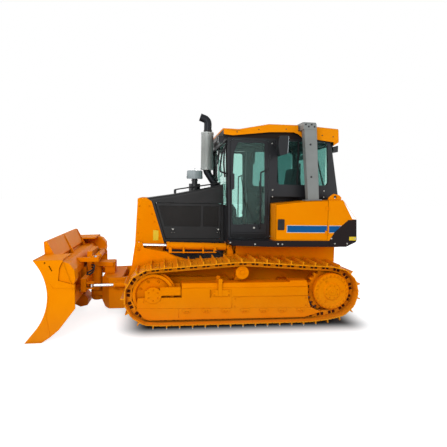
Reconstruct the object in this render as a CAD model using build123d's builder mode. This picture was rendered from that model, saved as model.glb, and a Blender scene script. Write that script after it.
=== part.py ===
"""Crawler dozer with an enclosed cab and a power-angle, power-tilt blade.

+X is forward, +Y is the machine's left, +Z is up, and the grousers stand on Z = 0.
Lengths along X are given from the middle of the wheelbase; x_track moves them into
the part's frame, whose origin is under the middle of the whole machine.
"""
import os
from math import atan2, cos, hypot, pi, sin, sqrt

from build123d import *

# ---------------------------------------------------------------- frame and fits
x_track = -504.0        # middle of the wheelbase in the part's frame
pin_gap = 0.5           # radial clearance of a pin in its bore
side_gap = 2.0          # clearance beside an eye in its fork
panel_gap = 5.0         # gap round a door or a lid

# ---------------------------------------------------------------- undercarriage
gauge = 1630.0          # between the middles of the tracks
shoe_width = 470.0
pitch = 158.75          # from pin to pin
link_half = 38.0        # pin to rail, and pin to shoe seat
shoe_plate = 10.0
grouser_height = 42.0
grouser_tip = 12.0
grouser_base = 18.0
grouser_lead = -20.0    # grouser from the middle of its shoe
rail_width = 55.0
rail_spacing = 105.0    # between the middles of the two rails
chain_phase = 53.0      # where the chain's first pin stands past the rear roller

roller_radius = 75.0
roller_count = 7
roller_first = 737.0
roller_step = 247.8
roller_fit = 0.3
carrier_rise = 5.5      # the links cross the carrier roller as chords
carrier_x, carrier_z = 32.0, 668.0
idler_x, idler_tread = 1152.0, 257.5
sprocket_x, sprocket_z, sprocket_pitch_radius = -1152.0, 420.0, 291.0
sprocket_teeth = 23
sprocket_width = 44.0

frame_plate = 20.0      # side plates of the track frames
roller_space = 180.0    # between those plates
track_frame_top = 535.0
track_frame_fold = 480.0    # where the box's upper edges fold in
track_frame_floor = 305.0   # underside of the box between its plates
frame_tail = -845.0         # rear end of the box
fork_back, fork_top = 800.0, 362.0      # step of the side plates under the idler's slides
rock_guard_bottom = 76.0
rock_guard_front, rock_guard_rear = 1352.0, -1030.0
rock_guard_edge, rock_guard_fall = 231.0, 0.0129    # its upper edge at the front, and its slope
rock_guard_proud = 8.0
slide_bottom, slide_top = 392.0, 497.0  # the idler's slides

final_drive_radius = 238.0
final_drive_face = 1000.0

track_y = gauge / 2
shoe_inner = track_y - shoe_width / 2
shoe_outer = track_y + shoe_width / 2
shoe_seat = link_half
pin_z = grouser_height + shoe_plate + link_half
rail_z = pin_z + link_half
roller_z = rail_z + roller_radius
idler_pin_radius = hypot(idler_tread + link_half, pitch / 2)   # the rails lie on it as chords
idler_z = pin_z + idler_pin_radius
carrier_tread = roller_radius
rear_roller_x = roller_first - (roller_count - 1) * roller_step

# ---------------------------------------------------------------- hull
hull_half = 330.0
belly_z = 360.0
hull_plate = 30.0
hull_rear, hull_front = -1390.0, 1200.0
hull_deck_rear, hull_deck_front = 920.0, 640.0
deck_step_x = 60.0
saddle_half, saddle_bottom = 560.0, 742.0   # wide rear of the hull, between the tracks
saddle_rear = -1345.0
rear_holes_y, rear_holes_step, rear_holes_z = 480.0, 160.0, 680.0
rear_hole_radius, rear_hole_depth = 10.5, 45.0
foot_half, foot_bottom, foot_top = 70.0, 520.0, 660.0   # foot plate of the drawbar
foot_plate, foot_gap = 15.0, 0.3

# ---------------------------------------------------------------- C-frame
arm_inner, arm_outer = 392.0, 452.0
pivot_x, pivot_z = 200.0, 450.0
pivot_boss = 78.0
pivot_pin = 36.0
nose_front, nose_bottom, nose_top = 1850.0, 110.0, 520.0

# ---------------------------------------------------------------- lift cylinders
lift_y = 503.0
lift_rear_x, lift_rear_z = 150.0, 945.0
lift_front_x, lift_front_z = 1350.0, 972.0
lift_barrel_radius, lift_bore_radius, lift_rod_radius = 48.0, 39.0, 25.0
lift_barrel_start, lift_barrel_end = 40.0, 832.0
lift_eye_radius, lift_eye_width = 38.0, 56.0
fork_plate = 20.0
barrel_base, barrel_gland = 12.0, 30.0    # closed ends of every hydraulic barrel
piston_height = 20.0

# ---------------------------------------------------------------- angle cylinders
angle_x, blade_pivot_z = 1960.0, 460.0
angle_rear_x, angle_rear_y = 1095.0, 512.0
angle_front_x, angle_front_y = 1950.0, 548.0
angle_z = 450.0
angle_barrel_radius, angle_bore_radius, angle_rod_radius = 35.0, 27.0, 17.0
angle_barrel_start, angle_barrel_end = 36.0, 576.0
angle_eye_radius, angle_eye_width = 33.0, 40.0

# ---------------------------------------------------------------- tilt cylinder
tilt_x, tilt_z = 1932.0, 762.0
tilt_yoke_y, tilt_blade_y = -400.0, 280.0
tilt_barrel_radius, tilt_bore_radius, tilt_rod_radius = 38.0, 30.0, 19.0
tilt_barrel_start, tilt_barrel_end = 36.0, 470.0
tilt_eye_radius, tilt_eye_width = 33.0, 36.0

# ---------------------------------------------------------------- blade
blade_half = 1380.0
blade_skin = 20.0
blade_rise_half = 890.0
end_plate = 20.0
corner_box_width = 170.0

# ---------------------------------------------------------------- hood and guard
hood_half = 385.0
hood_wall = 12.0
hood_bottom = 985.0
guard_top = 1592.0
hood_tail = 1797.0      # height of the hood's top at its rear end
stack_x, intake_x, stack_y = 428.0, 600.0, 150.0    # exhaust and air intake
muffler_bottom, muffler_top, muffler_radius = 1998.0, 2523.0, 84.0
collar_x, collar_radius = 308.0, 66.0       # where the exhaust leaves the hood
intake_radius = 80.0

# ---------------------------------------------------------------- cab and fenders
cab_half = 760.0
cab_wall = 45.0
cab_floor_z = 1015.0
cab_lower_half = 565.0
roof_bottom = 2392.0
cab_front = [(195.0, cab_floor_z), (235.0, roof_bottom)]
cab_rear = [(-1150.0, roof_bottom), (-1283.0, 1640.0)]
roof_half = 805.0
roof_gap = 3.0          # between the cab's sides and the roof's skirts
rops_inner, rops_outer = 860.0, 960.0
door_rear, door_sill, door_head = -315.0, 1092.0, 2368.0
box_inner, box_outer = 575.0, 1010.0
box_bottom = 1092.0
sill_bottom = 1012.0


# ---------------------------------------------------------------- drawing helpers
def side_plane(y):
    """Plane of a side view at y; what is drawn on it is extruded towards -Y."""
    return Plane(origin=(x_track, y, 0), x_dir=(1, 0, 0), z_dir=(0, -1, 0))


def top_plane(z):
    """Plane of a plan view at z, extruded upwards."""
    return Plane(origin=(x_track, 0, z), x_dir=(1, 0, 0), z_dir=(0, 0, 1))


def cross_plane(x):
    """Plane of a front view at x, extruded forwards."""
    return Plane(origin=(x_track + x, 0, 0), x_dir=(0, 1, 0), z_dir=(1, 0, 0))


def polygon(plane, points, length, mode=Mode.ADD, rounding=0.0):
    """Extrude a closed outline off its plane."""
    with BuildSketch(plane) as outline:
        with BuildLine():
            Polyline(*points, close=True)
        make_face()
        if rounding:
            fillet(outline.vertices(), rounding)
    extrude(outline.sketch, amount=length, mode=mode)


def slab(points, y_from, y_to, mode=Mode.ADD, rounding=0.0):
    """A side-view outline that fills y_from to y_to."""
    polygon(side_plane(y_to), points, y_to - y_from, mode, rounding)


def sheet(points, z_from, z_to, mode=Mode.ADD, rounding=0.0):
    """A plan-view outline that fills z_from to z_to."""
    polygon(top_plane(z_from), points, z_to - z_from, mode, rounding)


def bulkhead(points, x_from, x_to, mode=Mode.ADD, rounding=0.0):
    """A front-view outline that fills x_from to x_to."""
    polygon(cross_plane(x_from), points, x_to - x_from, mode, rounding)


def rect(x0, z0, x1, z1):
    """Corners of an upright rectangle."""
    return [(x0, z0), (x1, z0), (x1, z1), (x0, z1)]


def disc(plane, radius, x, z, length, mode=Mode.ADD):
    """A round bar off its plane."""
    with BuildSketch(plane) as face:
        with Locations((x, z)):
            Circle(radius)
    extrude(face.sketch, amount=length, mode=mode)


def crossbar(radius, x, z, y_from, y_to, mode=Mode.ADD):
    """A round bar along Y."""
    disc(side_plane(y_to), radius, x, z, y_to - y_from, mode)


def post(radius, x, y, z_from, z_to, mode=Mode.ADD):
    """A round bar along Z."""
    disc(top_plane(z_from), radius, x, y, z_to - z_from, mode)


def along(radius, y, z, x_from, x_to, mode=Mode.ADD):
    """A round bar along X."""
    disc(cross_plane(x_from), radius, y, z, x_to - x_from, mode)


def box_of(x0, y0, z0, x1, y1, z1, mode=Mode.ADD):
    """A square block between two corners."""
    sheet(rect(x0, y0, x1, y1), z0, z1, mode)


# ---------------------------------------------------------------- the chain's path
belt = [  # wheels inside the chain, counter-clockwise seen from the right: x, z, pin radius
    (rear_roller_x - 0.75 * pitch, roller_z, roller_radius + link_half),
    (roller_first, roller_z, roller_radius + link_half),
    (idler_x, idler_z, idler_pin_radius),
    (carrier_x, carrier_z, carrier_tread + link_half + carrier_rise),
    (sprocket_x, sprocket_z, sprocket_pitch_radius),
]


def belt_runs():
    """Tangent lines and arcs of the pin path, as (length, place) pairs."""
    normals = []
    for (x0, z0, r0), (x1, z1, r1) in zip(belt, belt[1:] + belt[:1]):
        span = hypot(x1 - x0, z1 - z0)
        ex, ez = (x1 - x0) / span, (z1 - z0) / span
        a = (r0 - r1) / span
        b = sqrt(1 - a * a)
        normals.append((a * ex + b * ez, a * ez - b * ex))
    runs = []
    for i, ((x0, z0, r0), (x1, z1, r1)) in enumerate(zip(belt, belt[1:] + belt[:1])):
        nx, nz = normals[i]
        p = (x0 + r0 * nx, z0 + r0 * nz)
        q = (x1 + r1 * nx, z1 + r1 * nz)
        length = hypot(q[0] - p[0], q[1] - p[1])
        runs.append((length, lambda s, p=p, q=q, n=length: (
            p[0] + (q[0] - p[0]) * s / n, p[1] + (q[1] - p[1]) * s / n)))
        mx, mz = normals[(i + 1) % len(belt)]
        start = atan2(nz, nx)
        turn = (atan2(mz, mx) - start) % (2 * pi)
        if turn * r1 > 1e-6 and turn < pi * 1.5:
            runs.append((turn * r1, lambda s, c=(x1, z1, r1), a0=start: (
                c[0] + c[2] * cos(a0 + s / c[2]), c[1] + c[2] * sin(a0 + s / c[2]))))
    return runs


def chain_pins():
    """Pin centres, one pitch apart round the whole belt."""
    runs = belt_runs()
    total = sum(length for length, _ in runs)
    count = round(total / pitch)
    pins = []
    for k in range(count):
        s = (chain_phase + k * total / count) % total
        for length, place in runs:
            if s <= length:
                pins.append(place(s))
                break
            s -= length
    return pins


def chain_outlines():
    """Outlines of the shoes' band and of the rails, from the pins."""
    pins = chain_pins()
    n = len(pins)
    frames = []
    for i in range(n):
        (x0, z0), (x1, z1) = pins[i], pins[(i + 1) % n]
        d = hypot(x1 - x0, z1 - z0)
        tx, tz = (x1 - x0) / d, (z1 - z0) / d
        frames.append(((x0 + x1) / 2, (z0 + z1) / 2, tx, tz, d / 2))

    def put(i, a, b):
        mx, mz, tx, tz, _ = frames[i]
        return (mx + a * tx + b * tz, mz + a * tz - b * tx)

    def at_pin(i, b):
        tx = frames[i][2] + frames[i - 1][2]
        tz = frames[i][3] + frames[i - 1][3]
        d = hypot(tx, tz)
        return (pins[i][0] + b * tz / d, pins[i][1] - b * tx / d)

    face = shoe_seat + shoe_plate
    seat = [at_pin(i, shoe_seat - 4) for i in range(n)]
    shoes, rail = [], []
    for i in range(n):
        half = frames[i][4]
        shoes.append(at_pin(i, shoe_seat + 2))
        for a, b in ((-half + 7, face), (grouser_lead - grouser_base / 2, face),
                     (grouser_lead - grouser_tip / 2, face + grouser_height),
                     (grouser_lead + grouser_tip / 2, face + grouser_height),
                     (grouser_lead + grouser_base / 2, face), (half - 7, face)):
            shoes.append(put(i, a, b))
        rail += [put(i, -half + 14, -link_half), put(i, half - 14, -link_half)]
    return seat, shoes, rail


# ================================================================ undercarriage, left side
seat_line, shoe_line, rail_line = chain_outlines()

with BuildPart() as track_left:
    slab(shoe_line, shoe_inner, shoe_outer)
    slab(seat_line, shoe_inner, shoe_outer, Mode.SUBTRACT)
    for side in (-1, 1):
        middle = track_y + side * rail_spacing / 2
        with BuildSketch(side_plane(middle + rail_width / 2)) as strip:
            with BuildLine():
                Polyline(*seat_line, close=True)
            make_face()
            with BuildLine():
                Polyline(*rail_line, close=True)
            make_face(mode=Mode.SUBTRACT)
        extrude(strip.sketch, amount=rail_width)

box_near = track_y - roller_space / 2        # inner faces of the frame's plates
box_far = track_y + roller_space / 2
frame_inner = box_near - frame_plate
frame_outer = box_far + frame_plate


def guard_edge(x):
    """Height of the rock guard's upper edge, which falls towards the rear."""
    return rock_guard_edge - (rock_guard_front - x) * rock_guard_fall


def layer(side, proud):
    """Y range from one side plate's inner face to proud of its outer face."""
    face = track_y + side * roller_space / 2
    return sorted((face, face + side * (frame_plate + proud)))


guard_front = [(1200, rock_guard_bottom + 6), (1266, 107), (rock_guard_front, 226)]
side_plate = [(frame_tail - 47, 191), (-801, rock_guard_bottom), *guard_front,
              (rock_guard_front - 9, fork_top), (fork_back, fork_top),
              (fork_back, track_frame_fold), (frame_tail + 4, track_frame_fold), (frame_tail - 4, 323)]
rock_guard = [(rock_guard_rear, 141), (-801, rock_guard_bottom), *guard_front,
              (rock_guard_front, rock_guard_edge), (frame_tail - 47, guard_edge(frame_tail - 47))]
with BuildPart() as track_frame_left:
    # box between the idler's fork and the sprocket, with its upper edges folded in
    bulkhead([(frame_inner, track_frame_floor), (frame_outer, track_frame_floor),
              (frame_outer, track_frame_fold), (frame_outer - 30, track_frame_top),
              (frame_inner + 30, track_frame_top), (frame_inner, track_frame_fold)],
             frame_tail + 4, fork_back)
    box_of(-832, frame_inner + 30, track_frame_top - 5, -603, frame_outer - 30,
           track_frame_top + 20)
    for side in (-1, 1):
        slab(side_plate, *layer(side, 0))
        slab(rock_guard, *layer(side, rock_guard_proud))
        # doubler along the rear half, and the cover of the recoil spring with its bracket
        slab([(frame_tail, 202), (159, 214), (159, 356), (frame_tail, 356)], *layer(side, 4))
        slab(rect(179, 373, 418, 453), *layer(side, 14))
        slab(rect(292, 373, 342, 594), *layer(side, 20))
        slab(rect(430, 356, 446, 455), frame_inner - 20, frame_inner + 12, Mode.SUBTRACT)
        slab(rect(430, 356, 446, 455), frame_outer - 12, frame_outer + 20, Mode.SUBTRACT)
        # slide of the idler's shaft, on the fork's plates
        slab(rect(fork_back + 15, slide_bottom, idler_x - 85, slide_top), *layer(side, 10))
        slab(rect(idler_x - 89, 330, idler_x + 102, 457), *layer(side, 10))
        crossbar(slide_top - idler_z, idler_x, idler_z, *layer(side, 10))
        # end caps of the rollers' shafts
        for i in range(roller_count):
            x = roller_first - i * roller_step
            top = guard_edge(x) - 6
            slab([(x - 54, top), (x - 54, top - 26), (x - 30, top - 52), (x + 30, top - 52),
                  (x + 54, top - 26), (x + 54, top)], *layer(side, rock_guard_proud + 7))
    # carrier roller's pedestal, on the inner side only
    slab([(carrier_x - 75, track_frame_fold - 2), (carrier_x + 75, track_frame_fold - 2),
          (carrier_x + 42, carrier_z + 30), (carrier_x - 42, carrier_z + 30)],
         frame_inner, box_near)
    # cross beams to the hull
    for x0, x1 in ((-70, 60), (-720, -590)):
        box_of(x0, hull_half, belly_z + 15, x1, frame_inner, belly_z + 125)

with BuildPart() as rollers_left:
    for i in range(roller_count):
        x = roller_first - i * roller_step
        crossbar(roller_radius - roller_fit, x, roller_z, track_y - 82, track_y + 82)
        crossbar(30, x, roller_z, box_near, box_far)
        for y in (track_y - 90, track_y + 82):
            crossbar(roller_radius + 15, x, roller_z, y, y + 8)
    crossbar(carrier_tread - roller_fit, carrier_x, carrier_z, track_y - 78, track_y + 78)
    crossbar(carrier_tread + 10, carrier_x, carrier_z, track_y + 82, track_y + 92)
    crossbar(30, carrier_x, carrier_z, box_near, track_y + 100)

with BuildPart() as idler_rollers_left:
    add(rollers_left.part)
    with BuildSketch(Plane(origin=(x_track + idler_x, track_y, idler_z), x_dir=(0, 1, 0),
                           z_dir=(1, 0, 0))) as rim:
        with BuildLine():
            Polyline((-75, 40), (75, 40), (75, 78), (22, 96), (22, 205), (78, 222),
                     (78, idler_tread - roller_fit), (22, idler_tread - roller_fit),
                     (20, idler_tread + 22), (-20, idler_tread + 22),
                     (-22, idler_tread - roller_fit), (-78, idler_tread - roller_fit), (-78, 222),
                     (-22, 205), (-22, 96), (-75, 78), close=True)
        make_face()
    revolve(rim.sketch, axis=Axis((x_track + idler_x, track_y, idler_z), (0, 1, 0)))
    crossbar(40, idler_x, idler_z, box_near, box_far)

tooth_points = []
for k in range(sprocket_teeth):
    for share, radius in ((-0.34, sprocket_pitch_radius - 28), (-0.14, sprocket_pitch_radius + 5),
                          (0.14, sprocket_pitch_radius + 5), (0.34, sprocket_pitch_radius - 28)):
        a = 2 * pi * (k + share) / sprocket_teeth
        tooth_points.append((sprocket_x + radius * cos(a), sprocket_z + radius * sin(a)))

with BuildPart() as sprocket_left:
    slab(tooth_points, track_y - sprocket_width / 2, track_y + sprocket_width / 2)
    crossbar(final_drive_radius - 20 + 1, sprocket_x, sprocket_z, track_y - 60, track_y + 60,
             Mode.SUBTRACT)

with BuildPart() as final_drive_left:
    add(sprocket_left.part)
    crossbar(final_drive_radius - 20, sprocket_x, sprocket_z, frame_inner - 60, box_far)
    # cover with its rim, its bolting ring and the boss in the middle: Y, radius
    with BuildSketch(Plane(origin=(x_track + sprocket_x, 0, sprocket_z), x_dir=(0, 1, 0),
                           z_dir=(1, 0, 0))) as cover:
        with BuildLine():
            Polyline((box_far, 0), (box_far, final_drive_radius),
                     (final_drive_face - 34, final_drive_radius),
                     (final_drive_face - 16, final_drive_radius - 16),
                     (final_drive_face - 16, final_drive_radius - 44),
                     (final_drive_face - 24, final_drive_radius - 50),
                     (final_drive_face - 24, 118), (final_drive_face - 8, 102),
                     (final_drive_face - 8, 58), (final_drive_face, 50), (final_drive_face, 0),
                     close=True)
        make_face()
    revolve(cover.sketch, axis=Axis((x_track + sprocket_x, 0, sprocket_z), (0, 1, 0)))
    crossbar(130, sprocket_x, sprocket_z, hull_half, frame_inner - 60)

# ================================================================ hull
lift_forks = (lift_y - lift_eye_width / 2 - side_gap - fork_plate,
              lift_y + lift_eye_width / 2 + side_gap)    # near edges of the fork plates

with BuildPart() as main_frame:
    slab([(hull_rear + 150, belly_z), (hull_front - 120, belly_z), (hull_front, belly_z + 110),
          (hull_front, hull_deck_front), (deck_step_x, hull_deck_front),
          (deck_step_x, hull_deck_rear), (hull_rear + 60, hull_deck_rear), (hull_rear, 780),
          (hull_rear, belly_z + 150)], -hull_half, hull_half)
    # engine bay between the side plates
    box_of(deck_step_x + 60, -hull_half + hull_plate, belly_z + hull_plate,
           hull_front - 60, hull_half - hull_plate, hull_deck_front + 10, Mode.SUBTRACT)
    for side in (-1, 1):
        y0, y1 = sorted((side * hull_half, side * (arm_inner - side_gap)))
        crossbar(pivot_boss + 10, pivot_x, pivot_z, y0, y1)
        y0, y1 = sorted((side * hull_half, side * (arm_outer + side_gap)))
        crossbar(pivot_pin, pivot_x, pivot_z, y0, y1)
        y0, y1 = sorted((side * (arm_outer + side_gap), side * (arm_outer + 16)))
        crossbar(pivot_boss - 16, pivot_x, pivot_z, y0, y1)
        # saddle between the tracks, and the ledge that carries the fender
        y0, y1 = sorted((side * (hull_half - 10), side * saddle_half))
        box_of(saddle_rear, y0, saddle_bottom, deck_step_x, y1, sill_bottom)
        y0, y1 = sorted((side * (saddle_half - 10), side * (box_outer - 200)))
        box_of(saddle_rear + 60, y0, sill_bottom - 30, deck_step_x, y1, sill_bottom)
    # radiator guard's front member
    bulkhead(rect(-hull_half, 480, hull_half, hull_deck_front), hull_front, hull_front + 60)
    # shelf that carries the guard
    box_of(1060, -hood_half, hull_deck_front - 30, hull_front + 60, hood_half, hull_deck_front)
    # tapped holes for a ripper or a winch on the rear face
    with BuildSketch(cross_plane(hull_rear)) as rear_face:
        with Locations((0, rear_holes_z)):
            with GridLocations(rear_holes_y, rear_holes_step, 2, 2):
                Circle(rear_hole_radius)
    extrude(rear_face.sketch, amount=rear_hole_depth, mode=Mode.SUBTRACT)
    # pocket of the drawbar's foot plate
    box_of(hull_rear - 5, -foot_half - foot_gap, foot_bottom - foot_gap,
           hull_rear + foot_plate + foot_gap, foot_half + foot_gap, foot_top + foot_gap, Mode.SUBTRACT)

with BuildPart() as drawbar:
    # clevis for a tow bar's eye, on a foot plate let into the hull
    box_of(hull_rear, -foot_half, foot_bottom, hull_rear + foot_plate, foot_half, foot_top)
    for z in (540, 610):
        box_of(hull_rear - 110, -60, z, hull_rear + 5, 60, z + 30)
    post(18, hull_rear - 68, 0, 530, 650, Mode.SUBTRACT)

bridge_bottom, bridge_top = 790.0, 850.0
with BuildPart() as lift_bridge:
    # beam across the hull's step, with the forks of the lift cylinders' rear eyes
    box_of(deck_step_x, -lift_y - 54, bridge_bottom, lift_rear_x + 35, lift_y + 54, bridge_top)
    for side in (-1, 1):
        for y in lift_forks:
            y0, y1 = sorted((side * y, side * (y + fork_plate)))
            slab([(lift_rear_x - 60, bridge_top - 2), (lift_rear_x + 22, bridge_top - 2),
                  (lift_rear_x + 26, lift_rear_z + 8), (lift_rear_x + 14, lift_rear_z + 30),
                  (lift_rear_x - 18, lift_rear_z + 34), (lift_rear_x - 36, lift_rear_z + 8)],
                 y0, y1)
        y0, y1 = sorted((side * (lift_y - 44), side * (lift_y + 44)))
        crossbar(20, lift_rear_x, lift_rear_z, y0, y1)

with BuildPart() as engine:
    box_of(300, -230, 500, 1000, 230, 1300)
    for x in (400, 860):     # feet on the hull's side plates
        box_of(x, -hull_half + hull_plate, 560, x + 90, hull_half - hull_plate, 600)

# ================================================================ guard and hood
guard_foot, guard_head = (1428, hull_deck_front), (1378, guard_top - 12)     # its front edge
guard_side = [guard_foot, guard_head, (guard_head[0] - 24, guard_top), (1262, guard_top),
              (1192, 1546), (1020, hood_bottom - 6), (1080, hull_deck_front)]


def guard_face(z):
    """How far forward the guard's front stands at z."""
    share = (z - guard_foot[1]) / (guard_head[1] - guard_foot[1])
    return guard_foot[0] + share * (guard_head[0] - guard_foot[0])


grille_bottom, grille_top, grille_half = 760.0, 1500.0, hood_half - 75
with BuildPart() as radiator_guard:
    slab(guard_side, -hood_half, hood_half)
    fillet(radiator_guard.edges().filter_by(Axis.Z, 5)
           .filter_by(lambda e: e.center().X > x_track + guard_head[0]), 25)
    slab([(guard_face(640) - 40, 640), (guard_face(1568) - 32, guard_top - 30), (1100, 1568),
          (900, 977), (1000, 640)], -hood_half + 30, hood_half - 30, Mode.SUBTRACT)
    # opening of the front grille
    bulkhead(rect(-grille_half, grille_bottom, grille_half, grille_top), 1250, 1500,
             Mode.SUBTRACT)

slat_step = 70.0
with BuildPart() as grille:
    for i in range(int((grille_top - grille_bottom - 30) / slat_step) + 1):
        z = grille_bottom + 15 + i * slat_step
        x = guard_face(z) - 14
        slab([(x - 26, z), (x - 20, z - 8), (x, z + 14), (x - 6, z + 22)],
             -grille_half + 0.3, grille_half - 0.3)
    for y in (-150, 150):
        slab([(guard_face(grille_bottom) - 50, grille_bottom + 1),
              (guard_face(grille_bottom) - 34, grille_bottom + 1),
              (guard_face(grille_top) - 34, grille_top - 1),
              (guard_face(grille_top) - 50, grille_top - 1)], y - 6, y + 6)



def cab_face(z):
    """How far forward the cab's front stands at z."""
    (x0, z0), (x1, z1) = cab_front
    return x0 + (z - z0) * (x1 - x0) / (z1 - z0)


hood_seat = 0.35        # between the guard's slanted back and the hood's front edge
(x0, z0), (x1, z1) = guard_side[4], guard_side[5]
hood_side = [(guard_side[3][0] - hood_seat, guard_top), (x0 - hood_seat, z0),
             (x0 + (hood_bottom - z0) * (x1 - x0) / (z1 - z0) - hood_seat, hood_bottom),
             (cab_face(hood_bottom) + panel_gap, hood_bottom),
             (cab_face(hood_tail) + panel_gap, hood_tail), (864, 1656)]
with BuildPart() as hood:
    slab(hood_side, -hood_half, hood_half)
    fillet(hood.edges().filter_by(lambda e: e.center().Z > guard_top and e.length > 300)
           .filter_by(lambda e: abs(abs(e.center().Y) - hood_half) < 1), 40)
    slab([(1250, guard_top - hood_wall), (1174, 1545 - hood_wall), (1000, hood_bottom - 20),
          (100, hood_bottom - 20), (100, hood_tail - hood_wall),
          (cab_face(hood_tail), hood_tail - hood_wall), (864, 1656 - hood_wall)],
         -hood_half + hood_wall, hood_half - hood_wall, Mode.SUBTRACT)
    post(collar_radius + 0.3, collar_x, stack_y, 1700, 1900, Mode.SUBTRACT)
    post(intake_radius + 0.3, intake_x, stack_y, 1650, 1900, Mode.SUBTRACT)
    # hand rails along the top
    for y in (-300, 300):
        with BuildLine() as rail:
            FilletPolyline((x_track + 870, y, 1630), (x_track + 870, y, 1712),
                           (x_track + 640, y, 1752), (x_track + 262, y, 1812),
                           (x_track + 262, y, 1775), radius=14)
        with BuildSketch(Plane(origin=rail.line @ 0, z_dir=rail.line % 0)):
            Circle(9)
        sweep(path=rail.line)

door_bottom, door_top = 1040.0, 1530.0
hood_door_rear = 242.0
hood_door_front = [(1005, door_bottom), (1150, door_top)]
with BuildPart(mode=Mode.PRIVATE) as door_holes:
    slab([(hood_door_rear, door_bottom), *hood_door_front, (hood_door_rear, door_top)],
         -hood_half - 10, hood_half + 10)
hinge_y, hinge_z = hood_half + 7, door_top + 3
with BuildPart() as hood_cut:
    add(hood.part)
    add(door_holes.part, mode=Mode.SUBTRACT)
    for x in (360, 900):
        for side in (-1, 1):
            y0, y1 = sorted((side * hood_half, side * (hood_half + 3)))
            box_of(x, y0, hinge_z, x + 39.7, y1, hinge_z + 25)
            along(5, side * hinge_y, hinge_z, x, x + 39.7)
            y0, y1 = sorted((side * (hood_half + 2.5), side * hinge_y))
            box_of(x, y0, hinge_z, x + 39.7, y1, hinge_z + 4)
hood = hood_cut

with BuildPart() as hood_door_left:
    g = panel_gap
    slab([(hood_door_rear + g, door_bottom + g), (1005 - g, door_bottom + g),
          (1150 - 2 * g, door_top - g), (hood_door_rear + g, door_top - g)],
         hood_half - hood_wall, hood_half)
    # sunk fields of the meshed panels, and the two locks
    for field in ([(525, 1212), (1016, 1212), (1098, 1490), (525, 1490)],
                  [(278, 1212), (490, 1212), (490, 1490), (278, 1490)]):
        slab(field, hood_half - 5, hood_half + 5, Mode.SUBTRACT, 12)
    for x in (280, 903):
        slab(rect(x - 24, 1120, x + 24, 1186), hood_half - 1, hood_half + 9, rounding=10)
    for x in (360, 900):
        along(5, hinge_y, hinge_z, x + 40, x + 80)
        box_of(x + 40, hood_half, hinge_z - 30, x + 80, hood_half + 3, hinge_z - 1)
        box_of(x + 40, hood_half, hinge_z - 4, x + 80, hinge_y, hinge_z - 1)

with BuildPart() as exhaust:
    post(muffler_radius, stack_x, stack_y, muffler_bottom, muffler_top)
    for z in (muffler_bottom, muffler_top - 30):
        post(muffler_radius + 5, stack_x, stack_y, z, z + 30)
    with BuildLine() as elbow:
        FilletPolyline((x_track + stack_x, stack_y, muffler_bottom + 5),
                       (x_track + stack_x, stack_y, muffler_bottom - 25),
                       (x_track + collar_x - 6, stack_y, muffler_bottom - 213), radius=25)
    with BuildSketch(Plane(origin=elbow.line @ 0, z_dir=elbow.line % 0)):
        Circle(48)
    sweep(path=elbow.line)
    post(collar_radius, collar_x, stack_y, 1745, 1812)
    with BuildLine() as tail:
        FilletPolyline((x_track + stack_x - 4, stack_y, muffler_top - 5),
                       (x_track + stack_x - 4, stack_y, muffler_top + 172),
                       (x_track + stack_x + 106, stack_y, muffler_top + 208), radius=74)
    with BuildSketch(Plane(origin=tail.line @ 0, z_dir=tail.line % 0)):
        Circle(54)
    sweep(path=tail.line)
    with BuildSketch(Plane(origin=tail.line @ 1, z_dir=tail.line % 1)):
        Circle(46)
    extrude(amount=-60, mode=Mode.SUBTRACT)

with BuildPart() as precleaner:
    post(110, intake_x, stack_y, 1868, 1984)
    fillet(precleaner.faces().sort_by(Axis.Z)[-1].edges(), 14)
    post(40, intake_x, stack_y, 1795, 1868)
    post(intake_radius, intake_x, stack_y, 1690, 1800)

# ================================================================ cab
cab_step = -345.0       # the cab is narrow behind it, between the fenders
door_front = [(172, door_sill), (205, door_head)]
side_window = [(-431, 1803), (-1136, 1803), (-1103, door_head), (-431, door_head)]
pane_half, pane_top = cab_half - 75, 2350.0     # windscreen and rear window
windscreen_sill, rear_sill = 1500.0, 1780.0


def pane(sill, x_from, x_to, inset, mode=Mode.ADD):
    """A window seen from the front, inset from its hole's edge."""
    bulkhead(rect(-pane_half + inset, sill + inset, pane_half - inset, pane_top - inset),
             x_from, x_to, mode, 50 - inset)


with BuildPart() as cab_shell:
    slab([*cab_front, *cab_rear, (cab_step, 1640), (cab_step, cab_floor_z)], -cab_half, cab_half)
    slab([(cab_step, cab_floor_z), (cab_step, 1640), cab_rear[1], (cab_rear[1][0], cab_floor_z)],
         -cab_lower_half, cab_lower_half)
    w = cab_wall
    slab([(cab_front[0][0] - w, cab_floor_z + w), (cab_front[1][0] - w, roof_bottom + 5),
          (cab_rear[0][0] + w, roof_bottom + 5), (cab_rear[1][0] + w, 1640 + w),
          (cab_step + w, 1640 + w), (cab_step + w, cab_floor_z + w)],
         -cab_half + w, cab_half - w, Mode.SUBTRACT)
    slab([(cab_step + w + 5, cab_floor_z + w), (cab_step + w + 5, 1640 + w + 5),
          (cab_rear[1][0] + w, 1640 + w + 5), (cab_rear[1][0] + w, cab_floor_z + w)],
         -cab_lower_half + w, cab_lower_half - w, Mode.SUBTRACT)
    for side in (-1, 1):
        y0, y1 = sorted((side * (cab_half - w - 1), side * (cab_half + 5)))
        slab([(door_rear, door_sill), *door_front, (door_rear, door_head)], y0, y1,
             Mode.SUBTRACT, 50)
        slab(side_window, y0, y1, Mode.SUBTRACT, 50)
    pane(windscreen_sill, 100, 300, 0, Mode.SUBTRACT)
    pane(rear_sill, -1400, -1050, 0, Mode.SUBTRACT)

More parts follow.
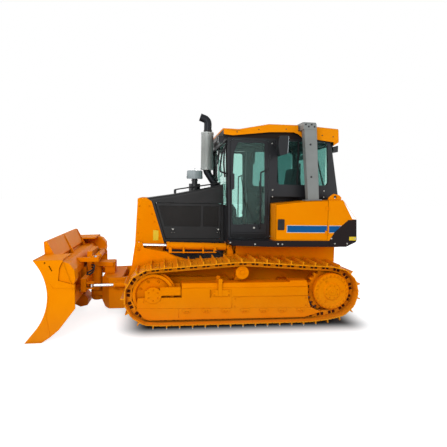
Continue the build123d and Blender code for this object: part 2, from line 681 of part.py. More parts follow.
# operator's seat with its arm rests and the control console
seat_x, seat_floor = -640.0, cab_floor_z + cab_wall
with BuildPart() as seat:
    box_of(seat_x - 190, -200, seat_floor, seat_x + 210, 200, seat_floor + 330)
    slab([(seat_x - 230, 1390), (seat_x + 260, 1390), (seat_x + 280, 1430),
          (seat_x + 250, 1500), (seat_x - 230, 1480)], -250, 250, rounding=18)
    slab([(seat_x - 230, 1480), (seat_x - 110, 1480), (seat_x - 200, 2080),
          (seat_x - 290, 2080)], -240, 240, rounding=25)
    for y in (-330, 270):
        slab([(seat_x - 180, 1610), (seat_x + 230, 1610), (seat_x + 240, 1680),
              (seat_x - 180, 1680)], y, y + 60, rounding=15)
        box_of(seat_x - 60, y + 10, seat_floor, seat_x + 60, y + 50, 1615)
with BuildPart() as cab_seat:
    add(seat.part)
    slab([(-40, seat_floor), (130, seat_floor), (150, 1480), (60, 1520), (0, 1430)], -230, 230)

# side view of the roof: its top from the front, then its lower edge from the rear
roof_brow = (298, 2497)
roof_side = [roof_brow, (94, 2493), (-294, 2572), (-744, 2576), (-1230, 2548), (-1241, 2372),
             (-1172, 2325), (-1170, 2369), (-732, 2418), (-679, 2457), (-610, 2478), (-305, 2466),
             (174, 2407), (289, 2418)]
rops_beam = (-866, 2497, -702, 2592)        # u, z, u, z
with BuildPart() as cab_roof:
    slab(roof_side, -roof_half, roof_half)
    fillet(cab_roof.edges().filter_by(lambda e: e.center().Z > 2485 and e.length > 200)
           .filter_by(lambda e: abs(e.center().Y) > roof_half - 1), 32)
    # the cab's head lies between the skirts
    slab([(cab_front[1][0] + 60, roof_bottom - 200), (cab_front[1][0] + 60, roof_bottom),
          (cab_rear[0][0] - roof_gap, roof_bottom), (cab_rear[1][0] - roof_gap, 1640)],
         -cab_half - roof_gap, cab_half + roof_gap, Mode.SUBTRACT)
    # black head band between the cab and the skirts' raised edges
    slab([(cab_front[1][0] - 5, roof_bottom), (-1140, roof_bottom), (-1140, 2500), (100, 2488),
          (cab_front[1][0] - 5, 2470)],
         -cab_half + 10, cab_half - 10)
    box_of(rops_beam[0] - 20, -roof_half - 5, rops_beam[1] - 5, rops_beam[2] + 20, roof_half + 5,
           rops_beam[3] + 110, Mode.SUBTRACT)
    # the headlining's recess
    box_of(-1080, -cab_half + 60, roof_bottom - 5, cab_front[1][0] - 55, cab_half - 60, 2465,
           Mode.SUBTRACT)


box_top = [(-351, 1550), (-757, 1596), (-1240, 1617)]       # top of the fender boxes


def box_top_z(x):
    """Height of a fender box's top along its rear half."""
    (x0, z0), (x1, z1) = box_top[1:]
    return z0 + (x - x0) * (z1 - z0) / (x1 - x0)


with BuildPart() as rops:
    for side in (-1, 1):
        y0, y1 = sorted((side * rops_inner, side * rops_outer))
        slab([(-937, box_top_z(-937) + 0.4), (-792, box_top_z(-792) + 0.4),
              (rops_beam[2], rops_beam[3]), (rops_beam[0], rops_beam[3])], y0, y1)
    slab(rect(*rops_beam), -rops_outer, rops_outer)
    fillet(rops.edges().filter_by(Axis.X)
           .filter_by(lambda e: e.center().Z > 2585 and abs(e.center().Y) > rops_outer - 5), 45)

glass = 6.0             # thickness of the panes
glass_gap = 0.5
with BuildPart() as windscreen:
    pane(windscreen_sill, 100, 300, glass_gap)
    slab([(x - 25, z) for x, z in cab_front] + [(x - 25 + glass, z) for x, z in cab_front[::-1]],
         -cab_half, cab_half, Mode.INTERSECT)
with BuildPart() as rear_pane:
    pane(rear_sill, -1400, -1050, glass_gap)
    slab([(x + 20, z) for x, z in cab_rear] + [(x + 20 + glass, z) for x, z in cab_rear[::-1]],
         -cab_half, cab_half, Mode.INTERSECT)
with BuildPart() as cab_glass:
    add(windscreen.part)
    add(rear_pane.part)
    for side in (-1, 1):
        y0, y1 = sorted((side * (cab_half - 20), side * (cab_half - 20 - glass)))
        slab([(side_window[0][0] - 1, 1804), (-1135, 1804), (-1102.4, door_head - 1),
              (side_window[0][0] - 1, door_head - 1)], y0, y1, rounding=50)

door_hinge_x, door_hinge_y = door_rear - 12, cab_half + 14
door_light = [(door_rear + 36, 1284), (152, 1272), (163, 1700), (147, 2200), (104, 2322),
              (door_rear + 62, 2330)]


def door_pane(inset, y_from, y_to, mode=Mode.ADD):
    """The door's window, inset from its hole's edge."""
    with BuildSketch(side_plane(y_to)) as light:
        with BuildLine():
            Polyline(*door_light, close=True)
        make_face()
        fillet(light.vertices(), 32)
        offset(amount=-inset)
    extrude(light.sketch, amount=y_to - y_from, mode=mode)


with BuildPart() as cab_door_left:
    slab([(door_rear + panel_gap, door_sill + panel_gap),
          (door_front[0][0] - panel_gap, door_sill + panel_gap),
          (door_front[1][0] - panel_gap, door_head - panel_gap),
          (door_rear + panel_gap, door_head - panel_gap)], cab_half - 32, cab_half, rounding=45)
    door_pane(0, cab_half - 40, cab_half + 10, Mode.SUBTRACT)
    for z in (1330, 2130):
        box_of(door_hinge_x, cab_half, z, door_rear + 45, cab_half + 8, z + 60)
        post(10, door_hinge_x, door_hinge_y, z, z + 60)
    # lock case at the front edge, and the pull handle across the pane
    slab([(187, 1940), (140, 1925), (136, 1735), (181, 1708)], cab_half - 1, cab_half + 26,
         rounding=14)
    with BuildLine() as pull:
        FilletPolyline((x_track + door_rear + 28, cab_half - 1, 1985),
                       (x_track + door_rear + 30, cab_half + 32, 1985),
                       (x_track + door_rear + 112, cab_half + 32, 1950),
                       (x_track + door_rear + 104, cab_half + 32, 1226),
                       (x_track + door_rear + 104, cab_half - 1, 1226), radius=15)
    with BuildSketch(Plane(origin=pull.line @ 0, z_dir=pull.line % 0)):
        Circle(10)
    sweep(path=pull.line)
with BuildPart() as door_glass_left:
    door_pane(glass_gap, cab_half - 20, cab_half - 20 + glass)


def roof_hem(x):
    """Height of the roof's lower edge behind the cab."""
    (x0, z0), (x1, z1) = roof_side[5], roof_side[6]
    return z0 + (x - x0) * (z1 - z0) / (x1 - x0)


mirror_head = [(-368, 2290), (-381, 2400), (-498, 2405), (-488, 2180), (-392, 2150)]
with BuildPart() as cab_fittings:
    for side in (-1, 1):
        # mirror on its arm
        y0, y1 = sorted((side * 870, side * 1000))
        slab(mirror_head, y0, y1, rounding=18)
        y0, y1 = sorted((side * (cab_half + 0.3), side * 880))
        crossbar(13, -405, 2330, y0, y1)
        y0, y1 = sorted((side * (cab_half + 0.3), side * (cab_half + 12.3)))
        slab(rect(-428, 2300, -382, 2360), y0, y1)
        # lamp under the roof's brow, and one at the rear
        y0, y1 = sorted((side * 560, side * 730))
        slab([(268, 2404), (330, 2408), (338, 2330), (330, 2312), (288, 2318)], y0, y1,
             rounding=8)
        slab(rect(268, 2380, 288, 2415.5), y0, y1)
        slab([(-1200, 2290), (-1196, 2318), (-1262, 2338), (-1262, 2250), (-1205, 2246)],
             y0, y1, rounding=8)
        slab([(-1218, 2310), (-1196, 2300), (-1190, roof_hem(-1190) - 0.3),
              (-1218, roof_hem(-1218) - 0.3)], *sorted((side * 620, side * 670)))

# ================================================================ fenders
box_skin = 18.0         # thickness of the box's door
box_seam = -1043.0      # rear edge of the door
box_corner = [(-1376, 1375), (-1433, 1367), (-1445, 1102)]      # rear corner, from the top
box_profile = [(-364, box_bottom), *box_top, *box_corner, (-1445, box_bottom)]
box_door = [(-372, 1102), (-360, 1542), (-757, 1588), (box_seam, 1600), (box_seam, 1102)]
with BuildPart() as fender_left:
    slab(box_profile, box_inner, box_outer)
    fillet(fender_left.edges().filter_by(lambda e: e.center().Z > 1540 and e.length > 300)
           .filter_by(lambda e: e.center().Y > box_outer - 1), 12)
    box_of(-1110, box_inner + 20, box_bottom + 20, -385, box_outer - 40, 1515, Mode.SUBTRACT)
    slab(rect(-1010, 1130, -400, 1505), box_outer - 60, box_outer + 5, Mode.SUBTRACT)
    # seat of the door, as wide as the door and the gap round it
    with BuildSketch(side_plane(box_outer + 5)) as seat_of_door:
        with BuildLine():
            Polyline(*box_door, close=True)
        make_face()
        offset(amount=panel_gap, kind=Kind.INTERSECTION)
    extrude(seat_of_door.sketch, amount=5 + box_skin + 0.3, mode=Mode.SUBTRACT)
    # sill below the box and under the cab's door, and the corner plate
    slab([(cab_step, sill_bottom), (cab_step, box_bottom), (-1445, box_bottom),
          (-1436, 1075), (-1305, sill_bottom)], box_inner, box_outer)
    slab([(cab_step, sill_bottom), (180, sill_bottom + 14), (229, 1080), (229, box_bottom - 3),
          (cab_step, box_bottom - 3)], cab_half + 10, box_outer)
    slab([(-1077, 1096), (-1146, 1205), (-1322, 1360), *box_corner[1:], (-1436, 1075),
          (-1320, 1020), (-1077, 1020)], box_outer - 1, box_outer + 5)
    # lifting eye on top
    slab([(-1058, 1605), (-1060, 1645), (-1126, 1694), (-1200, 1678), (-1232, 1648),
          (-1228, 1612)], box_outer - 60, box_outer - 36, rounding=8)
    crossbar(20, -1148, 1652, box_outer - 70, box_outer - 30, Mode.SUBTRACT)

box_hinge_x, box_hinge_y = box_seam - 9, box_outer + 9
with BuildPart() as box_door_left:
    slab(box_door, box_outer - box_skin, box_outer)
    slab(rect(-466, 1230, -390, 1358), box_outer - 1, box_outer + 12, rounding=8)
    for z in (1170, 1480):
        box_of(box_hinge_x, box_outer, z, box_seam + 30, box_outer + 5, z + 50)
        post(8, box_hinge_x, box_hinge_y, z, z + 50)

# ================================================================ C-frame
arm_side = [(pivot_x, pivot_z - pivot_boss), (700, 330), (1250, 170), (1560, nose_bottom),
            (1740, nose_bottom), (1740, nose_top), (1240, 540), (700, 525),
            (pivot_x, pivot_z + pivot_boss)]
# outline of the bracket that carries the lift rod's eye, from its foot's front corner
horn_foot, horn_front = 515.0, 1440.0
horn_side = [(1500, horn_foot), (horn_front, 700), (lift_front_x + 55, lift_front_z - 20),
             (lift_front_x + 45, lift_front_z + 42), (lift_front_x - 45, lift_front_z + 42),
             (lift_front_x - 66, lift_front_z - 34), (1130, 904), (985, 880), (925, 846),
             (850, 812), (750, 785), (548, 785), (540, 730), (860, 640), (1120, horn_foot)]
with BuildPart() as nose:
    # cross member between the arms, rounded below
    slab([(1560, nose_bottom), (nose_front - 50, nose_bottom), (nose_front, nose_bottom + 70),
          (nose_front, nose_top), (1560, nose_top)], -arm_outer, arm_outer, rounding=28)
    sheet([(1540, -arm_outer), (1740, -arm_outer), (nose_front, -270), (nose_front, 270),
           (1740, arm_outer), (1540, arm_outer)], 90, nose_top + 10, Mode.INTERSECT)
with BuildPart() as c_frame:
    add(nose.part)
    for side in (-1, 1):
        y0, y1 = sorted((side * arm_inner, side * arm_outer))
        slab(arm_side, y0, y1)
        crossbar(pivot_boss, pivot_x, pivot_z, y0, y1)
        crossbar(pivot_pin + pin_gap, pivot_x, pivot_z, y0 - 5, y1 + 5, Mode.SUBTRACT)
        for y in lift_forks:
            y0, y1 = sorted((side * y, side * (y + fork_plate)))
            slab(horn_side, y0, y1)
        y0, y1 = sorted((side * (arm_inner + 10), side * (lift_y + 46)))
        box_of(1160, y0, horn_foot, 1500, y1, horn_foot + 30)
        # fork of the angle cylinder's rear eye
        for z in (angle_z - 24 - 20, angle_z + 24):
            y0, y1 = sorted((side * arm_outer, side * (angle_rear_y + 34)))
            box_of(angle_rear_x - 55, y0, z, angle_rear_x + 34, y1, z + 20)
        post(15, angle_rear_x, side * angle_rear_y, angle_z - 40, angle_z + 40)
    # lugs and pin of the blade's angling pivot
    for z0, z1 in ((205, 262), (622, 680)):
        sheet([(1720, -150), (angle_x, -82), (angle_x, 82), (1720, 150)], z0, z1)
        post(82, angle_x, 0, z0, z1)
    sheet([(1700, -120), (nose_front - 10, -100), (nose_front - 10, 100), (1700, 120)],
          nose_top - 5, 680)
    post(32, angle_x, 0, 205, 690)


def cylinder_barrel(length_from, length_to, radius, bore, rod, eye_radius, eye_width, pin_radius):
    """A hydraulic barrel along local X from its eye at the origin, the eye's bore along Y."""
    with BuildPart() as barrel:
        with BuildSketch(Plane.YZ.offset(length_from)):
            Circle(radius)
        extrude(amount=length_to - length_from)
        with BuildSketch(Plane.YZ.offset(length_from + barrel_base)):
            Circle(bore)
        extrude(amount=length_to - length_from - barrel_base - barrel_gland, mode=Mode.SUBTRACT)
        with BuildSketch(Plane.YZ.offset(length_to - barrel_gland - 5)):
            Circle(rod + pin_gap)
        extrude(amount=barrel_gland + 10, mode=Mode.SUBTRACT)
        with BuildSketch(Plane.XZ.offset(-eye_width / 2)):
            Circle(eye_radius)
            with Locations((length_from / 2 + 2, 0)):
                Rectangle(length_from + 4, eye_radius * 1.3)
        extrude(amount=eye_width)
        with BuildSketch(Plane.XZ.offset(-eye_width)):
            Circle(pin_radius + pin_gap)
        extrude(amount=2 * eye_width, mode=Mode.SUBTRACT)
    return barrel.part


def cylinder_rod(length_from, length, radius, piston, eye_radius, eye_width, bore):
    """A piston rod along local X, from its piston to its eye at length."""
    with BuildPart() as rod:
        with BuildSketch(Plane.YZ.offset(length_from)):
            Circle(piston)
        extrude(amount=piston_height)
        with BuildSketch(Plane.YZ.offset(length_from)):
            Circle(radius)
        extrude(amount=length - length_from - eye_radius * 0.8)
        with BuildSketch(Plane.XZ.offset(-eye_width / 2)):
            with Locations((length, 0)):
                Circle(eye_radius)
        extrude(amount=eye_width)
        with BuildSketch(Plane.XZ.offset(-eye_width)):
            with Locations((length, 0)):
                Circle(bore)
        extrude(amount=2 * eye_width, mode=Mode.SUBTRACT)
    return rod.part


lift_length = hypot(lift_front_x - lift_rear_x, lift_front_z - lift_rear_z)
lift_plane = Plane(origin=(x_track + lift_rear_x, lift_y, lift_rear_z),
                   x_dir=(lift_front_x - lift_rear_x, 0, lift_front_z - lift_rear_z),
                   z_dir=(-(lift_front_z - lift_rear_z), 0, lift_front_x - lift_rear_x))
with BuildPart() as lift_barrel_left:
    add(lift_plane.from_local_coords(cylinder_barrel(
        lift_barrel_start, lift_barrel_end, lift_barrel_radius, lift_bore_radius, lift_rod_radius,
        lift_eye_radius, lift_eye_width, 20)))
with BuildPart() as lift_rod_left:
    add(lift_plane.from_local_coords(cylinder_rod(
        lift_barrel_start + 300, lift_length, lift_rod_radius, lift_bore_radius - 1, 44,
        lift_eye_width, 24)))

angle_length = hypot(angle_front_x - angle_rear_x, angle_front_y - angle_rear_y)
angle_plane = Plane(origin=(x_track + angle_rear_x, angle_rear_y, angle_z),
                    x_dir=(angle_front_x - angle_rear_x, angle_front_y - angle_rear_y, 0),
                    z_dir=(angle_front_y - angle_rear_y, -(angle_front_x - angle_rear_x), 0))
with BuildPart() as angle_barrel_left:
    add(angle_plane.from_local_coords(cylinder_barrel(
        angle_barrel_start, angle_barrel_end, angle_barrel_radius, angle_bore_radius,
        angle_rod_radius, angle_eye_radius, angle_eye_width, 15)))
with BuildPart() as angle_rod_left:
    add(angle_plane.from_local_coords(cylinder_rod(
        angle_barrel_start + 250, angle_length, angle_rod_radius, angle_bore_radius - 1, 32,
        angle_eye_width, 16)))

tilt_length = tilt_blade_y - tilt_yoke_y
tilt_plane = Plane(origin=(x_track + tilt_x, tilt_yoke_y, tilt_z), x_dir=(0, 1, 0), z_dir=(0, 0, 1))
with BuildPart() as tilt_barrel:
    add(tilt_plane.from_local_coords(cylinder_barrel(
        tilt_barrel_start, tilt_barrel_end, tilt_barrel_radius, tilt_bore_radius,
        tilt_rod_radius, tilt_eye_radius, tilt_eye_width, 16)))
with BuildPart() as tilt_rod:
    add(tilt_plane.from_local_coords(cylinder_rod(
        tilt_barrel_start + 120, tilt_length, tilt_rod_radius, tilt_bore_radius - 1, 34,
        tilt_eye_width, 18)))

# ================================================================ yoke between C-frame and blade
yoke_back, yoke_front = 2010.0, 2075.0
with BuildPart() as blade_yoke:
    post(76, angle_x, 0, 262 + side_gap, 622 - side_gap)
    box_of(angle_x, -76, 300, yoke_back + 10, 76, 622 - side_gap)
    box_of(yoke_back, -600, 375, yoke_front, 600, 545)
    for side in (-1, 1):
        y0, y1 = sorted((side * (angle_front_y - 38), side * (angle_front_y + 38)))
        for z in (angle_z - 23 - 20, angle_z + 23):
            post(38, angle_front_x, side * angle_front_y, z, z + 20)
            box_of(angle_front_x, y0, z, yoke_back + 5, y1, z + 20)
    # upright with the tilt cylinder's fork
    box_of(yoke_back, -450, 540, yoke_front, 120, 830)
    for x0, x1 in ((tilt_x - 44, tilt_x - 20), (tilt_x + 20, tilt_x + 44)):
        box_of(x0, tilt_yoke_y - 45, tilt_z - 40, x1, tilt_yoke_y + 27, tilt_z + 40)
    box_of(tilt_x - 44, -450, tilt_z - 40, yoke_back + 5, -437, tilt_z + 40)
    along(16, tilt_yoke_y, tilt_z, tilt_x - 44, tilt_x + 44)
    post(32 + pin_gap, angle_x, 0, 255, 630, Mode.SUBTRACT)
    post(82 + 8, angle_x, 0, 622 - side_gap, 690, Mode.SUBTRACT)
    # trunnion on which the blade tilts
    along(60, 0, blade_pivot_z, yoke_front - 5, 2215)

# ================================================================ blade
front_top, front_mid, front_low = (2424, 908), (2281, 495), (2408, 142)
back_top, back_mid, back_low = (2404, 908), (2260, 495), (2390, 126)
edge_tip = 2523.0
hub_face = yoke_front + 6
with BuildPart() as blade:
    inside = blade_half - end_plate
    with BuildSketch(side_plane(inside)) as skin:
        with BuildLine():
            ThreePointArc(front_top, front_mid, front_low)
            Line(front_low, back_low)
            ThreePointArc(back_low, back_mid, back_top)
            Line(back_top, front_top)
        make_face()
    extrude(skin.sketch, amount=2 * inside)
    # raised middle, closed at the back, with a rib at each end and one between
    slab([(2424, 900), (2436, 1058), (2412, 1058), (2318, 850), (2345, 795)], -blade_rise_half,
         blade_rise_half)
    for y in (-blade_rise_half + 12, 0, blade_rise_half - 12):
        slab([(2420, 900), (2436, 1058), (2400, 1056), (2262, 790), (2340, 795)], y - 12, y + 12)
    # end plates
    for y in (-blade_half, inside):
        with BuildSketch(side_plane(y + end_plate)) as end:
            with BuildLine():
                ThreePointArc(front_top, front_mid, front_low)
                Polyline(front_low, (edge_tip, 0), (2345, 0), (2253, 62), (2159, 143), (1989, 374),
                         (1992, 640), (2165, 690), (2150, 830), (2110, 918), front_top)
            make_face()
        extrude(end.sketch, amount=end_plate)
        crossbar(9, 2300, 884, y - 5, y + end_plate + 5, Mode.SUBTRACT)
        slab([(2250, 856), (2262, 850), (2232, 792), (2220, 798)], y - 5, y + end_plate + 5,
             Mode.SUBTRACT)
    for side in (-1, 1):
        # rounded box in each corner, and the plate that closes the top beside the raised middle
        y0, y1 = sorted((side * inside, side * (inside - corner_box_width)))
        slab([(2290, 640), (2006, 640), (1988, 700), (1996, 800), (2050, 872), (2130, 900),
              (2360, 896)], y0, y1, rounding=26)
        y0, y1 = sorted((side * inside, side * (blade_rise_half - 5)))
        slab([(2415, 884), (2415, 906), (2125, 916), (2125, 896)], y0, y1)
    # beams behind the skin
    slab([(2300, 200), (2200, 170), (2095, 290), (2095, 400), (2270, 430)], -inside, inside)
    slab([(2266, 610), (2120, 610), (2120, 700), (2190, 800), (2345, 800), (2290, 700)],
         -inside, inside)
    for y in (-1100, -700, -300, 300, 700, 1100):
        slab([(2270, 395), (2110, 395), (2130, 620), (2270, 620)], y - 8, y + 8)
    # foot of the hub, below the pivot
    slab([(2330, 150), (2160, 62), (2062, 84), (2058, 172), (2110, 235), (2270, 260)],
         -160, 160, rounding=16)
    # hub that turns on the yoke's trunnion
    box_of(hub_face, -150, 330, 2272, 150, 615)
    along(60 + pin_gap, 0, blade_pivot_z, hub_face - 10, 2220, Mode.SUBTRACT)
    # fork of the tilt rod's eye
    for x0, x1 in ((tilt_x - 44, tilt_x - 20), (tilt_x + 20, tilt_x + 44)):
        box_of(x0, tilt_blade_y - 36, tilt_z - 38, x1, tilt_blade_y + 74, tilt_z + 38)
    box_of(tilt_x - 44, tilt_blade_y + 42, tilt_z - 38, 2200, tilt_blade_y + 74, tilt_z + 20)

with BuildPart() as cutting_edge:
    slab([(edge_tip, 0), (edge_tip - 24, 0), back_low, front_low], -inside, inside)

# ================================================================ the right-hand side
def other_side(piece):
    """The same piece on the machine's right."""
    with BuildPart() as twin:
        mirror(piece.part, about=Plane.XZ)
    return twin


pieces = {
    "track_left": track_left, "track_frame_left": track_frame_left, "idler_rollers_left": idler_rollers_left,
    "final_drive_left": final_drive_left, "main_frame": main_frame, "lift_bridge": lift_bridge,
    "drawbar": drawbar, "engine": engine,
    "radiator_guard": radiator_guard, "grille": grille, "hood": hood,
    "hood_door_left": hood_door_left, "exhaust": exhaust, "precleaner": precleaner,
    "cab_seat": cab_seat, "cab_shell": cab_shell, "cab_roof": cab_roof, "rops": rops,
    "cab_glass": cab_glass, "cab_fittings": cab_fittings,
    "cab_door_left": cab_door_left, "door_glass_left": door_glass_left,
    "fender_left": fender_left, "box_door_left": box_door_left, "c_frame": c_frame,
    "lift_barrel_left": lift_barrel_left, "lift_rod_left": lift_rod_left,
    "angle_barrel_left": angle_barrel_left, "angle_rod_left": angle_rod_left,
    "tilt_barrel": tilt_barrel, "tilt_rod": tilt_rod, "blade_yoke": blade_yoke, "blade": blade,
    "cutting_edge": cutting_edge,
}
os.makedirs("parts", exist_ok=True)
for name, piece in list(pieces.items()):
    if name.endswith("_left"):
        pieces[name.replace("_left", "_right")] = other_side(piece)
for name, piece in pieces.items():
    piece.part.label = name
    export_step(piece.part, f"parts/{name}.step")
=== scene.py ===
from math import cos, pi, radians, sin

import bmesh
import bpy
from mathutils import Matrix, Vector


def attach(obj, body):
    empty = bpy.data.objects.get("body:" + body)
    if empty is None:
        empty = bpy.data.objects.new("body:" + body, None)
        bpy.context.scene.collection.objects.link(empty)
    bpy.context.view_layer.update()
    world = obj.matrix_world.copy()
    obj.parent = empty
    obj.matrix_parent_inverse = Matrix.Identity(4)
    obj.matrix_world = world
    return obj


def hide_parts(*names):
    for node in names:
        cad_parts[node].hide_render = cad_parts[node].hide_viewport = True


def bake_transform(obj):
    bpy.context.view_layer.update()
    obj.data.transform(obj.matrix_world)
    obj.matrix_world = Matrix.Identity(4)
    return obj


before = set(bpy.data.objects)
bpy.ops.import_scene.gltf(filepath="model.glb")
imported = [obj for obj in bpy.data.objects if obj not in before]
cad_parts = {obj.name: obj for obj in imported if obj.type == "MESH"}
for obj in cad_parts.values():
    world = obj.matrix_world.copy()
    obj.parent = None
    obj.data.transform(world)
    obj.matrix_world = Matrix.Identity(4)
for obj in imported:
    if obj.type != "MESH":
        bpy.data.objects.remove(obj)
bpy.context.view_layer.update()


# -------------------- camera, lamps and floor
# The camera stands 6 m off the machine's left side, a little ahead of its middle, at the
# height of the hood. Soft studio lamps and a pale sky light a floor that runs out to white, with a contact
# shadow painted dark round the tracks.
def feed(socket, source):
    """Fill a socket with a value, with an output, or from a node's first live output."""
    if isinstance(source, bpy.types.Node):
        source = next(output for output in source.outputs if output.enabled)
    if isinstance(source, bpy.types.NodeSocket):
        socket.id_data.links.new(source, socket)
    else:
        socket.default_value = source


def fill(node, **settings):
    """Set a node's sockets by name, an underscore for each space, or its own options."""
    for key, value in settings.items():
        label = key.replace("_", " ")
        if label in node.inputs:
            feed(node.inputs[label], value)
        else:
            setattr(node, key, value)


def add_node(tree, kind, *sources, **settings):
    """One shader node with its settings; the sources fill its first live sockets in turn."""
    node = tree.nodes.new("ShaderNode" + kind)
    fill(node, **settings)
    live = [socket for socket in node.inputs if socket.enabled]
    for socket, source in zip(live, sources):
        feed(socket, source)
    return node


def seen_directly(tree):
    """1 for rays from the camera, in a reflection or through glass."""
    rays = add_node(tree, "LightPath").outputs
    total = rays["Is Camera Ray"]
    for kind in ("Is Glossy Ray", "Is Transmission Ray"):
        total = add_node(tree, "Math", total, rays[kind], operation="MAXIMUM")
    return total


def new_paint(name):
    """A material, its tree and its shader."""
    paint = bpy.data.materials.new(name)
    paint.use_nodes = True
    return paint, paint.node_tree, paint.node_tree.nodes["Principled BSDF"]


def new_object(name, data):
    """An object at the origin, in the scene."""
    made = bpy.data.objects.new(name, data)
    scene.collection.objects.link(made)
    return made


def mesh_data(name, mesh):
    """Turn a bmesh into a mesh of that name."""
    data = bpy.data.meshes.new(name)
    mesh.to_mesh(data)
    mesh.free()
    return data


scene = bpy.context.scene
scene.view_settings.view_transform = "Standard"
eye_point = Vector((0.5513, 6.0089, 1.6737))
heading, dip, roll = 171.4445, 4.206, 1.1314
camera_data = bpy.data.cameras.new("camera")
camera_data.lens = 33.16
camera = new_object("camera", camera_data)
camera.matrix_world = (
    Matrix.Translation(eye_point)
    @ Matrix.Rotation(radians(heading), 4, "Z")
    @ Matrix.Rotation(radians(90 - dip), 4, "X")
    @ Matrix.Rotation(radians(roll), 4, "Z")
)
bpy.context.scene.camera = camera

lamp_size, lamp_aim = 4.0, Vector((0.0, 0.0, 1.0))
for name, place, power in (
    ("key_lamp", (2.4, 7.2, 3.8), 290.0),
    ("fill_lamp", (-5.5, 6.5, 3.0), 100.0),
    ("front_lamp", (8.0, 0.5, 3.2), 150.0),
    ("back_lamp", (-2.0, -7.5, 4.5), 260.0),
):
    lamp_data = bpy.data.lights.new(name, "AREA")
    lamp_data.size = lamp_size
    lamp_data.energy = power
    lamp = new_object(name, lamp_data)
    lamp.visible_camera = lamp.visible_transmission = False
    turn = (lamp_aim - Vector(place)).to_track_quat("-Z", "Y").to_matrix().to_4x4()
    lamp.matrix_world = Matrix.Translation(place) @ turn

white = (1.0, 1.0, 1.0, 1.0)
sky = bpy.data.worlds.new("sky")
scene.world = sky
sky.use_nodes = True
sky_tree = sky.node_tree
sky_tree.nodes.clear()
sky_light = add_node(sky_tree, "Background", Color=(0.95, 0.98, 1.0, 1.0), Strength=0.32)
sky_white = add_node(sky_tree, "Background", Color=white, Strength=1.0)
sky_mix = add_node(sky_tree, "MixShader", seen_directly(sky_tree), sky_light, sky_white)
add_node(sky_tree, "OutputWorld", sky_mix)

floor_mesh = bmesh.new()
bmesh.ops.create_grid(floor_mesh, x_segments=1, y_segments=1, size=60.0)
floor_data = mesh_data("floor", floor_mesh)
floor = new_object("floor", floor_data)
floor_paint, floor_tree, floor_shader = new_paint("floor_white")
floor_place = add_node(floor_tree, "TexCoord").outputs["Object"]
floor_reach = add_node(floor_tree, "VectorMath", floor_place, operation="LENGTH")
floor_far = add_node(floor_tree, "MapRange", floor_reach, 2.5, 7.0, 0.84, 1.0,
                     interpolation_type="SMOOTHSTEP")
# distance from the patch that the two chains stand on: its middle is moved to the origin, and
# what is left past its half sizes is measured
floor_gap = floor_place
for operation, *numbers in (("ADD", (0.55, 0.0, 0.0)), ("ABSOLUTE",), ("SUBTRACT", (1.25, 0.95, 1.0)),
                            ("MAXIMUM", (0.0, 0.0, 0.0)), ("LENGTH",)):
    floor_gap = add_node(floor_tree, "VectorMath", floor_gap, *numbers, operation=operation)
# painted contact shadow: on the patch and for half a metre round it the floor is painted near black and
# loses its glow
painted_shadow_fade = add_node(floor_tree, "MapRange", floor_gap, 0.0, 0.5, interpolation_type="SMOOTHSTEP")
floor_painted_tone = add_node(floor_tree, "Mix", painted_shadow_fade, (0.1, 0.1, 0.1, 1.0), (0.6, 0.62, 0.64, 1.0),
                      data_type="RGBA")
fill(floor_shader, Roughness=1.0, Specular_IOR_Level=0.0, Base_Color=floor_painted_tone)
floor_fade = add_node(floor_tree, "Math", floor_far, painted_shadow_fade, operation="MULTIPLY")
floor_shown = add_node(floor_tree, "Math", floor_fade, seen_directly(floor_tree), operation="MULTIPLY")
floor_glow = add_node(floor_tree, "Emission", Color=white, Strength=floor_shown)
floor_sum = add_node(floor_tree, "AddShader", floor_shader, floor_glow)
fill(floor_tree.nodes["Material Output"], Surface=floor_sum)
floor_data.materials.append(floor_paint)


# -------------------- hull, track frames and blade gear
# Welded steel plate in two coats of orange machinery enamel. The gloss varies a little, the
# spray left a fine skin, edges carry a painted highlight, corners a painted shade, and dust lies low down.
def linear(red, green, blue):
    """Scene-linear colour from an 8-bit paint colour."""
    shares = (channel / 255 for channel in (red, green, blue))
    return tuple(s / 12.92 if s <= 0.04045 else ((s + 0.055) / 1.055) ** 2.4 for s in shares) + (1.0,)


def zone(tree, place, tests, join="MULTIPLY"):
    """1 where the tests hold: an axis (y without its sign), '<' or '>', and metres."""
    apart = add_node(tree, "SeparateXYZ", place)
    off_middle = add_node(tree, "Math", apart.outputs["Y"], operation="ABSOLUTE")
    axes = {"x": apart.outputs["X"], "y": off_middle, "z": apart.outputs["Z"]}
    total = None
    for axis, sign, limit in tests:
        kind = "LESS_THAN" if sign == "<" else "GREATER_THAN"
        test = add_node(tree, "Math", axes[axis], limit, operation=kind)
        total = add_node(tree, "Math", total, test, operation=join) if total else test
    return total


